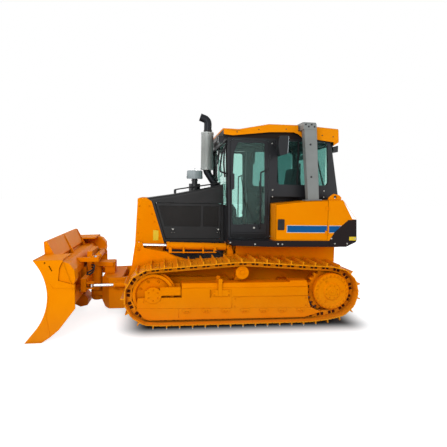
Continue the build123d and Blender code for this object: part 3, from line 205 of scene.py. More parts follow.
def enamel(name, colour, light, rough=0.32, skin=0.06, edge=0.35, dust=0.0, coat=0.0, level=0.2,
           second=None, tests=(), join="MULTIPLY", sheen=white, metal=0.0):
    """A sprayed coat on steel: colour drifts towards light, edges get a painted highlight and corners a
    painted shade.

    Colours are in 8 bits; second is another coat's where the tests hold, and sheen tints the gloss."""
    colour, light = linear(*colour), linear(*light)
    paint, tree, shader = new_paint(name)
    place = add_node(tree, "TexCoord").outputs["Object"]

    def blend_in(share, under, over):
        """Lay one colour over another."""
        return add_node(tree, "Mix", share, under, over, data_type="RGBA")

    drift = add_node(tree, "TexNoise", place, Scale=2.3, Detail=3.0, Roughness=0.55)
    tone = blend_in(add_node(tree, "MapRange", drift, 0.35, 0.75, 0.0, 0.5), colour, light)
    # painted highlight along the edges, where a rounded normal leaves the face's own
    rounded = add_node(tree, "Bevel", samples=4, Radius=0.006)
    flat = add_node(tree, "NewGeometry").outputs["Normal"]
    painted_edge_highlight = add_node(tree, "VectorMath", rounded, flat, operation="DOT_PRODUCT")
    tone = blend_in(add_node(tree, "MapRange", painted_edge_highlight, 0.985, 0.88, 0.0, edge), tone, light)
    if dust:
        height = add_node(tree, "SeparateXYZ", place).outputs["Z"]
        low = add_node(tree, "MapRange", height, 0.45, 0.0, 0.0, dust)
        patch = add_node(tree, "TexNoise", place, Scale=9.0, Detail=6.0, Roughness=0.7)
        settled = add_node(tree, "Math", low, patch, operation="MULTIPLY")
        tone = blend_in(settled, tone, linear(176, 120, 62))
    # painted shade in corners and under overhangs, from ambient occlusion: brown on orange and black on the
    # rest
    corner = add_node(tree, "AmbientOcclusion", samples=6, Distance=0.09).outputs["AO"]
    painted_corner_shade = add_node(tree, "MapRange", corner, 0.75, 0.15, 0.0, 0.7)
    tone = blend_in(painted_corner_shade, tone, linear(92, 34, 4) if colour[0] > 3 * colour[2] else linear(12, 11, 11))
    if second:
        tone = blend_in(zone(tree, place, tests, join), tone, linear(*second))
    gloss = add_node(tree, "TexNoise", place, Scale=14.0, Detail=4.0)
    rub = add_node(tree, "MapRange", gloss, 0.0, 1.0, rough - 0.07, rough + 0.09)
    peel = add_node(tree, "TexNoise", place, Scale=160.0, Detail=2.0)
    bump = add_node(tree, "Bump", Strength=skin, Distance=0.002, Height=peel, Normal=rounded)
    fill(shader, Base_Color=tone, Roughness=rub, Normal=bump, Metallic=metal, Coat_Weight=coat,
         Coat_Roughness=0.12, Specular_IOR_Level=level, Specular_Tint=sheen)
    return paint


def coat_nodes(paint, *nodes):
    """Give CAD nodes their finish."""
    for node in nodes:
        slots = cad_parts[node].data.materials
        if not slots:
            slots.append(paint)
        for i in range(len(slots)):
            slots[i] = paint


sides = (("left", 1), ("right", -1))


def both(*parts):
    """The names of a left-hand and a right-hand node for each part."""
    return [f"{part}_{side}" for part in parts for side, sign in sides]


warm_gloss = linear(255, 176, 70)
orange = enamel("orange_enamel", (248, 140, 0), (255, 156, 8), rough=0.5, dust=0.3,
                level=0.05, sheen=warm_gloss)
coat_nodes(orange, "main_frame", "lift_bridge", "drawbar", "radiator_guard", "c_frame", "blade_yoke",
           "blade", "tilt_barrel",
           *both("track_frame", "idler_rollers", "final_drive", "lift_barrel", "angle_barrel", "box_door"))


# u counts forward from midway between idler and sprocket; the machine's own middle lies here
middle_u = 504.0


def at(u, y, z):
    """A point in metres from u, y and z in mm."""
    return Vector((u - middle_u, y, z)) / 1000


def soften(mesh, parts, reach, steps, kind="EDGES"):
    """Round edges, or an outline's corners, over a reach in metres."""
    bmesh.ops.bevel(mesh, geom=list(parts), offset=reach, affect=kind, segments=steps, profile=0.5,
                    material=-1)


def grow(mesh, faces, push):
    """Draw faces out into a solid by a push in metres."""
    grown = bmesh.ops.extrude_face_region(mesh, geom=faces)
    moved = [item for item in grown["geom"] if isinstance(item, bmesh.types.BMVert)]
    bmesh.ops.translate(mesh, verts=moved, vec=push)


sharp_angle = 0.7      # edges that bend by more than this many radians are broken


def solid(mesh, corners, push, soft=0.0, rounds=0.0):
    """Close an outline, round its corners, push it out into a solid and break its edges; metres."""
    before = set(mesh.faces)
    face = mesh.faces.new([mesh.verts.new(corner) for corner in corners])
    if rounds:
        soften(mesh, face.verts, rounds, 4, "VERTICES")
    grow(mesh, [f for f in mesh.faces if f not in before], push)
    if soft:
        made = [f for f in mesh.faces if f not in before]
        bmesh.ops.recalc_face_normals(mesh, faces=made)
        sharp = dict.fromkeys(e for f in made for e in f.edges if e.calc_face_angle(0.0) > sharp_angle)
        soften(mesh, sharp, soft, 2)


def slab(mesh, outline, y_from, y_to, soft=0.0, rounds=0.0):
    """A side-view outline of (u, z) pairs in mm that fills y_from to y_to."""
    solid(mesh, [at(u, y_from, z) for u, z in outline], (0, (y_to - y_from) / 1000, 0),
          soft / 1000, rounds / 1000)


def rect(u0, z0, u1, z1):
    """Corners of an upright rectangle."""
    return [(u0, z0), (u1, z0), (u1, z1), (u0, z1)]


def rod(mesh, start, end, radius, steps=16, taper=1.0):
    """A round bar between two points, radius in mm."""
    along = end - start
    turn = along.to_track_quat("Z", "Y").to_matrix().to_4x4()
    bmesh.ops.create_cone(mesh, cap_ends=True, segments=steps, radius1=radius / 1000,
                          radius2=radius * taper / 1000, depth=along.length,
                          matrix=Matrix.Translation((start + end) / 2) @ turn)


def bolt(mesh, place, facing, across, height):
    """A hexagon head on its washer, sizes in mm."""
    facing = Vector(facing) / 1000
    rod(mesh, place, place + facing * height * 0.25, across * 0.64)
    rod(mesh, place + facing * height * 0.25, place + facing * height, across * 0.56, 6, 0.86)


def side_bolts(mesh, sign, y, places, across, height):
    """Bolts at (u, z) places on an outer side face that is y mm off the middle."""
    for u, z in places:
        bolt(mesh, at(u, sign * y, z), (0, sign, 0), across, height)


def ring(count, first, radius, u=0.0, z=0.0):
    """Places round a circle about (u, z) in mm, the first at an angle in degrees."""
    angles = [radians(first + 360 * k / count) for k in range(count)]
    return [(u + radius * cos(a), z + radius * sin(a)) for a in angles]


def turned(mesh, profile, centre, axis, steps=24):
    """A form turned about an axis through centre; the profile gives radius and height in mm."""
    axis = Vector(axis)
    turn = axis.to_track_quat("Z", "Y").to_matrix()
    line = [mesh.verts.new(centre + turn @ Vector((r, 0, h)) / 1000) for r, h in profile]
    edges = [mesh.edges.new(pair) for pair in zip(line, line[1:])]
    bmesh.ops.spin(mesh, geom=line + edges, cent=centre, axis=axis, angle=2 * pi, steps=steps,
                   use_merge=True)
    bmesh.ops.remove_doubles(mesh, verts=mesh.verts, dist=1e-6)


def link_object(name, data, paint, body):
    """Put a finished mesh or curve on its body, with its paint."""
    data.materials.append(paint)
    made = new_object(name, data)
    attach(made, body)
    return made


def add_piece(name, mesh, paint, body="chassis", smooth=False):
    """Make a finished bmesh a piece of the machine."""
    bmesh.ops.recalc_face_normals(mesh, faces=mesh.faces)
    for face in mesh.faces:
        face.smooth = smooth
    return link_object(name, mesh_data(name, mesh), paint, body)


def tube(name, routes, radius, steps):
    """Round bars along control points in mm, each stretch in so many steps."""
    curve = bpy.data.curves.new(name, "CURVE")
    curve.dimensions = "3D"
    curve.bevel_depth = radius / 1000
    curve.bevel_resolution = 3
    curve.resolution_u = steps
    curve.use_fill_caps = True
    for route in routes:
        line = curve.splines.new("NURBS")
        line.points.add(len(route) - 1)
        for point, place in zip(line.points, route):
            point.co = (*at(*place), 1.0)
        line.order_u = 3
        line.use_endpoint_u = True
    return curve


def add_pipe(name, routes, radius, paint, body="chassis"):
    """Bent pipes along control points in mm, clamped to what they run along."""
    return link_object(name, tube(name, routes, radius, 6), paint, body)


idler_u, idler_z = 1152, 396
drive_u, drive_z = -1152, 420
roller_u, roller_step, roller_count = 737, 247.8, 7

# weld beads of the track frames: u, z, u, z of their ends, and Y of the outer plate there
frame_seams = [
    (835, 112, 835, 222, 934), (-840, 481, 788, 481, 926), (-838, 359, 150, 359, 930),
    (162, 216, 162, 352, 926), (1268, 300, 1268, 352, 926), (806, 366, 806, 474, 926),
]
for side, sign in sides:
    beads = bmesh.new()
    for u0, z0, u1, z1, y in frame_seams:
        rod(beads, at(u0, sign * y, z0), at(u1, sign * y, z1), 3.2, 8)
    # two bolts at each roller through the guard's outer and inner plate, whose edge drops rearwards
    for k in range(roller_count):
        roller = roller_u - k * roller_step
        z = 195 - (1352 - roller) * 0.0129
        for u in (roller - 17, roller + 17):
            bolt(beads, at(u, sign * 939, z), (0, sign, 0), 17, 9)
            bolt(beads, at(u, sign * 691, z), (0, -sign, 0), 17, 9)
    side_bolts(beads, sign, 938, ((205, 392), (205, 434), (392, 392), (392, 434)), 15, 8)
    side_bolts(beads, sign, 928, ((-820, 232), (-820, 330), (120, 236), (120, 332)), 15, 8)
    # cap of the idler's shaft, then the ridge and the bolts on the idler's face
    side_bolts(beads, sign, 934, ring(6, 30, 66, idler_u, idler_z), 16, 9)
    turned(beads, [(222, -2), (219, 5), (209, 5), (205, -2)], at(idler_u, sign * 837, idler_z),
           (0, sign, 0), 36)
    side_bolts(beads, sign, 837, ring(8, 22.5, 165, idler_u, idler_z), 24, 14)
    add_piece(f"track_frame_trim_{side}", beads, orange, smooth=True)

# bolts of the final drive's ring, boss and cover: Y of the face, radius, how many, across, height
for side, sign in sides:
    heads = bmesh.new()
    for y, radius, count, across, height in ((983, 208, 24, 17, 10), (991, 81, 8, 13, 7),
                                             (975, 150, 3, 26, 9)):
        side_bolts(heads, sign, y, ring(count, 180 / count, radius, drive_u, drive_z), across, height)
    turned(heads, [(0, 8), (14, 8), (17, 5), (17, -2)], at(drive_u, sign * 1000, drive_z), (0, sign, 0))
    add_piece(f"final_drive_bolts_{side}", heads, orange)


# -------------------- track chains
# Forged links with two nut windows each, joined by pins, and on every pair of links a bolted
# rolled shoe with one bar. Dark plates behind the windows are painted shade. The bars wear bright where they
# touch the ground.
shoe_orange = enamel("shoe_orange", (250, 150, 6), (255, 172, 40), rough=0.4, skin=0.15,
                     edge=0.5, dust=0.35, level=0.12, sheen=warm_gloss,
                     second=(196, 190, 180), tests=[("z", "<", 0.016)])
coat_nodes(shoe_orange, *both("track"))
# dark brown, painted as the shade inside the links' nut windows
painted_window_shade = enamel("painted_window_shade", (58, 20, 4), (74, 30, 8), rough=0.8, edge=0.0)

# wheels inside the chain: u, z and the radius on which the pins turn, from the rear roller round
wheels = [(-868.9, 203.0, 113.0), (roller_u, 203.0, 113.0), (idler_u, idler_z, 306.0), (32.0, 668.0, 118.5),
          (drive_u, drive_z, 291.0)]
nominal_pitch, first_pin = 158.75, 53.0    # pin to pin, and along the belt to the first pin
belt = []
for step in range(1440):
    a = radians(step / 4 - 90)
    u, z, r = max(wheels, key=lambda w: w[0] * cos(a) + w[1] * sin(a) + w[2])
    belt.append(Vector((u + r * cos(a), z + r * sin(a))))
stretches = list(zip(belt, belt[1:] + belt[:1]))
lengths = [(end - start).length for start, end in stretches]
link_count = round(sum(lengths) / nominal_pitch)
pitch = sum(lengths) / link_count
pins = []
for k in range(link_count):
    left = (first_pin + k * pitch) % sum(lengths)
    for (start, end), length in zip(stretches, lengths):
        if left <= length:
            pins.append(start + (end - start) * left / length)
            break
        left -= length


def stamp(mesh, pattern, matrices):
    """Copy a small bmesh into a large one, once for each matrix."""
    data = mesh_data("pattern", pattern)
    for matrix in matrices:
        first = len(mesh.verts)
        mesh.from_mesh(data)
        mesh.verts.ensure_lookup_table()
        bmesh.ops.transform(mesh, matrix=matrix, verts=mesh.verts[first:])
    bpy.data.meshes.remove(data)


def link_frames(y, outward):
    """A matrix for each link: x along the chain, y away from the wheels, z sideways."""
    made = []
    for a, b in zip(pins, pins[1:] + pins[:1]):
        run = (b - a).normalized()
        middle = (a + b) / 2
        turn = Matrix(((run.x, run.y, 0), (0, 0, outward), (run.y, -run.x, 0))).to_4x4()
        made.append(Matrix.Translation(at(middle.x, y, middle.y)) @ turn)
    return made


def link_plate():
    """A link's side face with its two nut windows, and the end of its pin."""
    pattern = bmesh.new()
    columns, rows = (-73, -46, -7, 7, 46, 73), (-33, -15, 27, 33)
    grid = [[pattern.verts.new((u / 1000, v / 1000, 0)) for u in columns] for v in rows]
    for j in range(3):
        for i in range(5):
            if not (j == 1 and i in (1, 3)):
                pattern.faces.new((grid[j][i], grid[j][i + 1], grid[j + 1][i + 1], grid[j + 1][i]))
    grow(pattern, list(pattern.faces), (0, 0, 0.007))
    for radius, height in ((31, 7.6), (18, 9)):
        bmesh.ops.create_cone(pattern, cap_ends=True, segments=14, radius1=radius / 1000,
                              radius2=radius / 1000 * 0.94, depth=height / 1000,
                              matrix=Matrix.Translation((-0.079, -0.003, height / 2000)))
    return pattern


for side, sign in sides:
    plates, window_shade_plates, nuts = bmesh.new(), bmesh.new(), bmesh.new()
    # outer and inner side faces of the links
    for y, outward in ((sign * 895, sign), (sign * 735, -sign)):
        stamp(plates, link_plate(), link_frames(y, outward))
        # a dark plate just behind each nut window: painted shade inside the opening
        hole = bmesh.new()
        for u in (-26.5, 26.5):
            bmesh.ops.create_cube(hole, size=1.0, matrix=Matrix.Translation((u / 1000, 0.006, 0.0006))
                                  @ Matrix.Diagonal((0.0385, 0.0415, 0.001, 1.0)))
        stamp(window_shade_plates, hole, link_frames(y, outward))
    shoe_bolts = bmesh.new()
    for u in (10, 44):
        for across in (-52.5, 52.5):
            bolt(shoe_bolts, Vector((u, 47, across)) / 1000, (0, 1, 0), 25, 13)
    stamp(nuts, shoe_bolts, link_frames(sign * 815, sign))
    add_piece(f"link_faces_{side}", plates, shoe_orange)
    add_piece(f"link_window_shades_{side}", window_shade_plates, painted_window_shade)
    add_piece(f"shoe_bolts_{side}", nuts, shoe_orange)


# -------------------- hood, cab frame and doors
# Pressed steel in satin black. The side doors carry woven mesh in sunk fields and two
# quarter-turn locks each; rubber is pressed round every pane.
satin_black = enamel("satin_black", (24, 24, 24), (46, 46, 47), rough=0.38, skin=0.1,
                     level=0.22)
cab_black = enamel("cab_black", (22, 23, 26), (44, 45, 49), rough=0.38, skin=0.1,
                   level=0.25)
coat_nodes(satin_black, "hood", "grille", *both("hood_door"))
coat_nodes(cab_black, "cab_shell", "cab_fittings", *both("cab_door"))
mesh_brown = enamel("mesh_brown", (30, 26, 24), (62, 55, 49), rough=0.5, edge=0.5)
zinc = enamel("zinc_plate", (176, 176, 170), (214, 212, 204), rough=0.35, metal=0.7)

strand, strand_gap = 1.5, 11
for side, sign in sides:
    # woven mesh: crossed strands, trimmed to each field's outline
    screen = bmesh.new()
    for u0, u1, lean in ((526, 1015, 82.0), (279, 489, 0.0)):
        field = bmesh.new()
        for k in range(int((u1 + lean - u0) / strand_gap)):
            u = u0 + 6 + k * strand_gap
            rod(field, at(u, sign * 381.4, 1214), at(u, sign * 381.4, 1488), strand, 5)
        for k in range(25):
            z = 1219 + k * strand_gap
            rod(field, at(u0 + 1, sign * 382.8, z), at(u1 + lean, sign * 382.8, z), strand, 5)
        if lean:
            bmesh.ops.bisect_plane(field, geom=field.verts[:] + field.edges[:] + field.faces[:],
                                   plane_co=at(u1 - 3, 0, 1212), clear_outer=True,
                                   plane_no=(278.0, 0, -lean))
            bmesh.ops.holes_fill(field, edges=[e for e in field.edges if e.is_boundary], sides=8)
        stamp(screen, field, [Matrix()])
    add_piece(f"hood_screen_{side}", screen, mesh_brown, f"hood_door_{side}")
    # quarter-turn locks, and the bolts of the hinges and of the sill
    locks = bmesh.new()
    for u in (280, 903):
        turned(locks, [(0, 5), (8, 5), (11, 2), (11, -3)], at(u, sign * 394, 1172), (0, sign, 0), 20)
        slab(locks, rect(u - 2, 1166, u + 2, 1178), sign * 398, sign * 400)
        for du, z in ((-18, 1128), (18, 1128), (-18, 1179), (18, 1179)):
            rod(locks, at(u + du, sign * 393, z), at(u + du, sign * 396, z), 3)
    add_piece(f"hood_locks_{side}", locks, zinc, f"hood_door_{side}")
    # pressed swage along the hood's lower edge and its fixing bolts
    swage = bmesh.new()
    slab(swage, [(1010, 994), (1030, 1030), (240, 1030), (240, 994)], sign * 384, sign * 387.5, 1.5)
    side_bolts(swage, sign, 387, [(u, 1012) for u in (275, 420, 565, 710, 855, 985)], 13, 7)
    add_piece(f"hood_swage_{side}", swage, satin_black)


def gasket(mesh, outline, y_from, y_to, width, rounds):
    """A rubber ring inside a side-view outline, all in mm."""
    before = set(mesh.faces)
    face = mesh.faces.new([mesh.verts.new(at(u, y_from, z)) for u, z in outline])
    soften(mesh, face.verts, rounds / 1000, 5, "VERTICES")
    pane = [f for f in mesh.faces if f not in before]
    bmesh.ops.inset_region(mesh, faces=pane, thickness=width / 1000, use_even_offset=True)
    middle = [f for f in mesh.faces if f in set(pane)]
    bmesh.ops.delete(mesh, geom=middle, context="FACES_ONLY")
    grow(mesh, [f for f in mesh.faces if f not in before], (0, (y_to - y_from) / 1000, 0))


rubber = enamel("window_rubber", (22, 22, 23), (40, 40, 42), rough=0.7, skin=0.2, edge=0.1)
lamp_glass, lens_tree, lens_shader = new_paint("lamp_glass")
lens_place = add_node(lens_tree, "TexCoord").outputs["Object"]
lens_rib = add_node(lens_tree, "TexWave", lens_place, Scale=60.0, bands_direction="Y").outputs["Fac"]
lens_tone = add_node(lens_tree, "Mix", lens_rib, linear(150, 156, 160), linear(226, 230, 232),
                     data_type="RGBA")
fill(lens_shader, Roughness=0.08, Base_Color=lens_tone)

door_light = [(-279, 1284), (152, 1272), (163, 1700), (147, 2200), (104, 2322), (-253, 2330)]
side_window = [(-431, 1803), (-1136, 1803), (-1103, 2368), (-431, 2368)]
for side, sign in sides:
    seals = bmesh.new()
    gasket(seals, door_light, sign * 753, sign * 762.5, 13, 34)
    # crease and kick plate below the pane, the key's barrel, and the wiper on its arm
    slab(seals, rect(-290, 1166, 150, 1174), sign * 759, sign * 762, 1)
    slab(seals, rect(-296, 1112, 160, 1152), sign * 759, sign * 761.5, 1)
    rod(seals, at(-150, sign * 758, 1290), at(-150, sign * 770, 1290), 13)
    rod(seals, at(-150, sign * 768, 1290), at(-20, sign * 766, 1560), 3.5, 8)
    slab(seals, [(-48, 1370), (-40, 1368), (52, 1900), (44, 1902)], sign * 757, sign * 766, 1)
    add_piece(f"door_seals_{side}", seals, rubber, f"cab_door_{side}")
    knob = bmesh.new()
    turned(knob, [(0, 12), (10, 11), (14, 6), (14, -2)], at(-139, sign * 761, 1230), (0, sign, 0))
    add_piece(f"door_key_{side}", knob, zinc, f"cab_door_{side}")
    trims = bmesh.new()
    gasket(trims, side_window, sign * 752, sign * 764, 20, 52)
    gasket(trims, [(-315, 1092), (172, 1092), (205, 2368), (-315, 2368)], sign * 757, sign * 762.5, -9, 50)
    # sliding half of the rear side window, its catch, and swages of the lower panel
    slab(trims, [(-700, 1806), (-722, 1806), (-722, 2366), (-700, 2366)], sign * 742, sign * 752, 1.5)
    slab(trims, rect(-745, 2030, -726, 2085), sign * 742, sign * 757, 2)
    slab(trims, rect(-720, 1640, -365, 1648), sign * 759, sign * 762, 1)
    add_piece(f"cab_trim_{side}", trims, rubber)
    panel_bolts = bmesh.new()
    side_bolts(panel_bolts, sign, 760, ((-1078, 1729), (-1078, 1648), (-375, 1729), (-375, 1640),
                                        (-352, 2330), (-352, 1120)), 15, 8)
    add_piece(f"cab_bolts_{side}", panel_bolts, zinc)

    # hand loop at the cab's front corner, the work lamps' lenses and rims, the mirror's glass
    bars = (((226, 2300), (262, 2296), (262, 2250), (300, 2190), (322, 2010), (322, 1950), (280, 1940),
             (262, 1930), (222, 1926)), ((262, 2270), (280, 2100), (262, 1935), (256, 1880)))
    add_pipe(f"front_loop_{side}", [[(u, sign * 735, z) for u, z in bar] for bar in bars], 11, rubber)
    lenses, rims, glasses = bmesh.new(), bmesh.new(), bmesh.new()
    y0, y1 = sign * 572, sign * 718
    slab(lenses, [(328, 2402), (334, 2402), (341, 2337), (335, 2337)], y0, y1, 1.5)
    slab(lenses, rect(-1266, 2258, -1260, 2330), y0, y1, 1.5)
    rim = sign * 8
    for y in (y0 - rim, y1):
        slab(rims, [(328, 2404), (343, 2404), (346, 2334), (331, 2334)], y, y + rim, 1.5)
        slab(rims, rect(-1270, 2254, -1258, 2336), y, y + rim, 1.5)
    slab(glasses, [(-489, 2186), (-496, 2186), (-504, 2398), (-497, 2398)], sign * 880, sign * 990, 1)
    add_piece(f"lamp_lenses_{side}", lenses, lamp_glass)
    add_piece(f"lamp_rims_{side}", rims, rubber)
    mirror_glass = enamel(f"mirror_glass_{side}", (190, 200, 205), (200, 210, 214), rough=0.12,
                          skin=0.0, edge=0.0, metal=1.0)
    add_piece(f"mirror_glass_{side}", glasses, mirror_glass)

# frames of the windscreen and of the rear window: rubber bars that follow the leaning faces
frames = bmesh.new()
# the faces that the bars lie on: u at their lower edge, that edge's z, lean, and the way out
windscreen, rear_window = (195, 1015, 40 / 1377, 3), (-1283, 1640, 133 / 752, -3)


def leaning_bar(mesh, window, y0, z0, y1, z1):
    """A rubber bar on a leaning window of the cab."""
    foot_u, foot_z, lean, out = window
    start, end = [at(foot_u + (z - foot_z) * lean + out, y, z) for y, z in ((y0, z0), (y1, z1))]
    rod(mesh, start, end, 12, 8)


for window, low, high in ((windscreen, 1504, 2346), (rear_window, 1784, 2346)):
    for y in (-681, 681):
        leaning_bar(frames, window, y, low, y, high)
    for z in (low, high):
        leaning_bar(frames, window, -681, z, 681, z)
# wiper of each window: its pivot, and the middle of its blade
for window, pivot_z, y, z in ((windscreen, 2330, -330, 1900), (rear_window, 2330, 260, 2000)):
    leaning_bar(frames, window, 0, pivot_z, y / 2, (pivot_z + z) / 2)
    leaning_bar(frames, window, y - 60, z + 180, y + 40, z - 180)
add_piece("window_frames", frames, rubber)


# -------------------- safety glass
# Green-tinted laminated panes. The fixed side panes behind the doors carry a darker tint.
tinted, pane_tree, pane_shader = new_paint("tinted_glass")
pane_place = add_node(pane_tree, "TexCoord").outputs["Object"]
side_panes = zone(pane_tree, pane_place, [("x", "<", -0.9), ("y", ">", 0.7), ("x", ">", -1.6)])
pane_tint = add_node(pane_tree, "Mix", side_panes, linear(206, 238, 230), linear(120, 166, 160),
                     data_type="RGBA")
fill(pane_shader, Base_Color=pane_tint, Roughness=0.01, Transmission_Weight=0.95, IOR=1.12,
     Specular_IOR_Level=0.5)
coat_nodes(tinted, "cab_glass", *both("door_glass"))


# -------------------- engine, exhaust and air intake
# A cast-iron block stands behind the guard. The exhaust leaves through a black elbow into an
# aluminised muffler in a ribbed shell; the intake breathes through a spun drum with vanes.
cast_grey = enamel("cast_grey", (50, 51, 53), (84, 86, 88), rough=0.55, skin=0.3)
coat_nodes(cast_grey, "engine")
block_trim = bmesh.new()
block_side = 229
for sign in (1, -1):
    for u in (380, 530, 680, 830):
        slab(block_trim, rect(u - 52, 1140, u + 52, 1240), sign * block_side, sign * 262, 8)
        rod(block_trim, at(u, sign * 228, 1110), at(u, sign * 290, 1060), 24)
    slab(block_trim, [(350, 1010), (350, 1080), (930, 1080), (930, 1010)], sign * block_side, sign * 300, 12)
    slab(block_trim, [(320, 560), (320, 760), (980, 760), (940, 560)], sign * block_side, sign * 250, 10)
    turned(block_trim, [(0, 130), (52, 126), (58, 112), (58, 0)], at(640, sign * block_side, 880),
           (0, sign, 0))
    side_bolts(block_trim, sign, block_side, [(u, 780) for u in range(340, 941, 75)], 18, 10)
# pump housing between the block and the cab's floor
slab(block_trim, [(120, 644), (330, 644), (330, 900), (180, 900), (120, 820)], -210, 210, 12)
slab(block_trim, rect(150, 700, 300, 850), -240, 240, 10)
add_piece("engine_trim", block_trim, cast_grey)

stack_grey = enamel("stack_grey", (150, 154, 151), (190, 193, 190), rough=0.4, skin=0.2,
                    second=(30, 32, 36), tests=[("z", "<", 1.9975), ("z", ">", 2.5235)], join="MAXIMUM",
                    metal=0.35)
coat_nodes(stack_grey, "exhaust")
drum_grey = enamel("drum_grey", (150, 160, 162), (196, 206, 208), rough=0.25, coat=0.1,
                   second=(28, 29, 32), tests=[("z", "<", 1.867)])
coat_nodes(drum_grey, "precleaner")
upright = (0, 0, 1)
stack_u, drum_u, stack_y = 428, 600, 150    # middles of the muffler and of the intake's drum
shell = bmesh.new()
ribs = [(84, 2034)]
for z in range(2037, 2487, 15):
    ribs += [(87.5, z), (87.5, z + 7), (84.5, z + 10), (84.5, z + 15)]
turned(shell, ribs, at(stack_u, stack_y, 0), upright, 40)
for z in (2016, 2505):
    turned(shell, [(88, z - 6), (91, z - 4), (91, z + 4), (88, z + 6)], at(stack_u, stack_y, 0),
           upright, 40)
    slab(shell, rect(416, z - 5, 440, z + 5), 238, 252, 1)
add_piece("muffler_shell", shell, stack_grey, smooth=True)
clamp = bmesh.new()
for centre, axis, radius in ((at(stack_u, stack_y, 1986), upright, 50),
                             (at(422, stack_y, 2546), upright, 56),
                             (at(316, stack_y, 1835), (-0.42, 0, -0.86), 50)):
    turned(clamp, [(radius, -9), (radius + 4, -9), (radius + 4, 9), (radius, 9), (radius, -9)],
           centre, axis, 32)
turned(clamp, [(60, 0), (92, 0), (92, 8), (66, 10), (60, 6)], at(308, stack_y, 1806), (0.22, 0, 1), 32)
add_piece("exhaust_clamps", clamp, satin_black)
# vanes that lean against the air, then the drum's knob and cap, its band and its neck
vanes = bmesh.new()
vane_lean, vane_height, hub = 0.12, Vector((0, 0, 0.034)), at(drum_u, stack_y, 1876)
for k in range(30):
    a = 2 * pi * k / 30
    foot = hub + Vector((cos(a), sin(a), 0)) * 0.106
    tip = hub + Vector((cos(a + vane_lean), sin(a + vane_lean), 0)) * 0.113
    solid(vanes, [foot, tip, tip + vane_height, foot + vane_height], (0.002 * sin(a), -0.002 * cos(a), 0))
for profile, steps in (([(0, 2014), (9, 2012), (12, 2004), (30, 1998), (96, 1986), (96, 1980)], 32),
                       ([(110.3, 1922), (112.5, 1922), (112.5, 1932), (110.3, 1932)], 40),
                       ([(40, 1840), (47, 1840), (47, 1856), (40, 1856), (40, 1840)], 32)):
    turned(vanes, profile, at(drum_u, stack_y, 0), upright, steps)
add_piece("precleaner_vanes", vanes, drum_grey)


# -------------------- radiator guard
# A welded orange box round the radiator. Its side plates carry a blank yellow label, bolts
# along the rear flange, and the core shows dark behind the slats.
sticker_yellow = enamel("sticker_yellow", (232, 196, 30), (240, 208, 60), rough=0.3, skin=0.02,
                        edge=0.0, coat=0.2)
core_dark = enamel("core_dark", (24, 24, 25), (50, 50, 50), rough=0.6)
guard_trim, labels, core = bmesh.new(), bmesh.new(), bmesh.new()
rear_row = [(1066 + share * 172, 1000 + share * 540) for share in (0.1, 0.3, 0.5, 0.7, 0.9)]
front_row = [(1396 - (z - 640) * 0.053, z) for z in (1120, 1300, 1480)]
guard_side = 385
for sign in (1, -1):
    side_bolts(guard_trim, sign, guard_side, rear_row + front_row, 15, 8)
    rod(guard_trim, at(1408, sign * guard_side, 980), at(1078, sign * guard_side, 980), 2.5, 8)
    slab(labels, rect(1097, 1016, 1170, 1157), sign * (guard_side - 0.2), sign * (guard_side + 0.7), 0.0, 6)
slab(core, [(1296, 700), (1312, 700), (1280, 1560), (1264, 1560)], -352, 352)
fin_gap, fin = 15.8, 2.5
for k in range(44):
    y = -340 + k * fin_gap
    slab(core, [(1311, 705), (1318, 705), (1286, 1555), (1279, 1555)], y, y + fin)
add_piece("guard_bolts", guard_trim, orange)
add_piece("guard_labels", labels, sticker_yellow)
add_piece("radiator_core", core, core_dark)


# -------------------- cab roof and protective arch
# An orange moulded roof skin over a black head band; the skirt's inner faces are painted black
# as the shade under the roof. The arch is welded steel box section in satin grey, bolted through
# its foot plates; its joint to the beam shows as a seam.
# second coat: the black head band, and the skirt's inner faces painted black as shade under the roof
roof_skin = enamel("roof_skin", (250, 146, 6), (255, 162, 24), rough=0.36, skin=0.12, edge=0.25,
                   level=0.14, sheen=warm_gloss,
                   second=(30, 30, 33), tests=[("y", "<", 0.8035), ("z", "<", 2.475)])
coat_nodes(roof_skin, "cab_roof")
arch_grey = enamel("arch_grey", (126, 129, 127), (158, 161, 158), rough=0.42, skin=0.15, edge=0.3,
                   coat=0.05)
coat_nodes(arch_grey, "rops")
dark_bolt = enamel("dark_bolt", (44, 44, 46), (80, 80, 82), rough=0.45)
arch_parts, arch_bolts, roof_parts = bmesh.new(), bmesh.new(), bmesh.new()
leg_side, skirt_side = 960, 805
for sign in (1, -1):
    # foot plate on the fender box, and the seam where the leg meets the beam
    slab(arch_parts, [(-975, 1607), (-752, 1597), (-752, 1610), (-975, 1620)], sign * 846, sign * 974, 2)
    for u in (-955, -772):
        for y in (868, 952):
            bolt(arch_bolts, at(u, sign * y, 1609 - (u + 955) * 0.05), upright, 22, 13)
    side_bolts(arch_bolts, sign, leg_side, ((-842, 2532), (-804, 2558), (-766, 2532), (-728, 2558)), 17, 9)
    side_bolts(arch_bolts, sign, leg_side, ((-797, 2309), (-822, 1903)), 20, 10)
    rod(arch_parts, at(-866, sign * (leg_side + 0.4), 2497), at(-702, sign * (leg_side + 0.4), 2497), 2.5, 8)
    # drip rail along the skirt
    slab(roof_parts, [(-1225, 2386), (-1174, 2340), (-1172, 2352), (-1222, 2398)],
         sign * 800, sign * 808, 1.5)
    side_bolts(arch_bolts, sign, skirt_side,
               ((-1160, 2440), (-1010, 2452), (-520, 2512), (-160, 2492), (120, 2452)), 12, 6)
rod(roof_parts, at(-250, -720, 2570), at(-250, 720, 2570), 3, 8)
add_piece("arch_feet", arch_parts, arch_grey)
add_piece("arch_bolts", arch_bolts, dark_bolt)
add_piece("roof_seams", roof_parts, roof_skin)


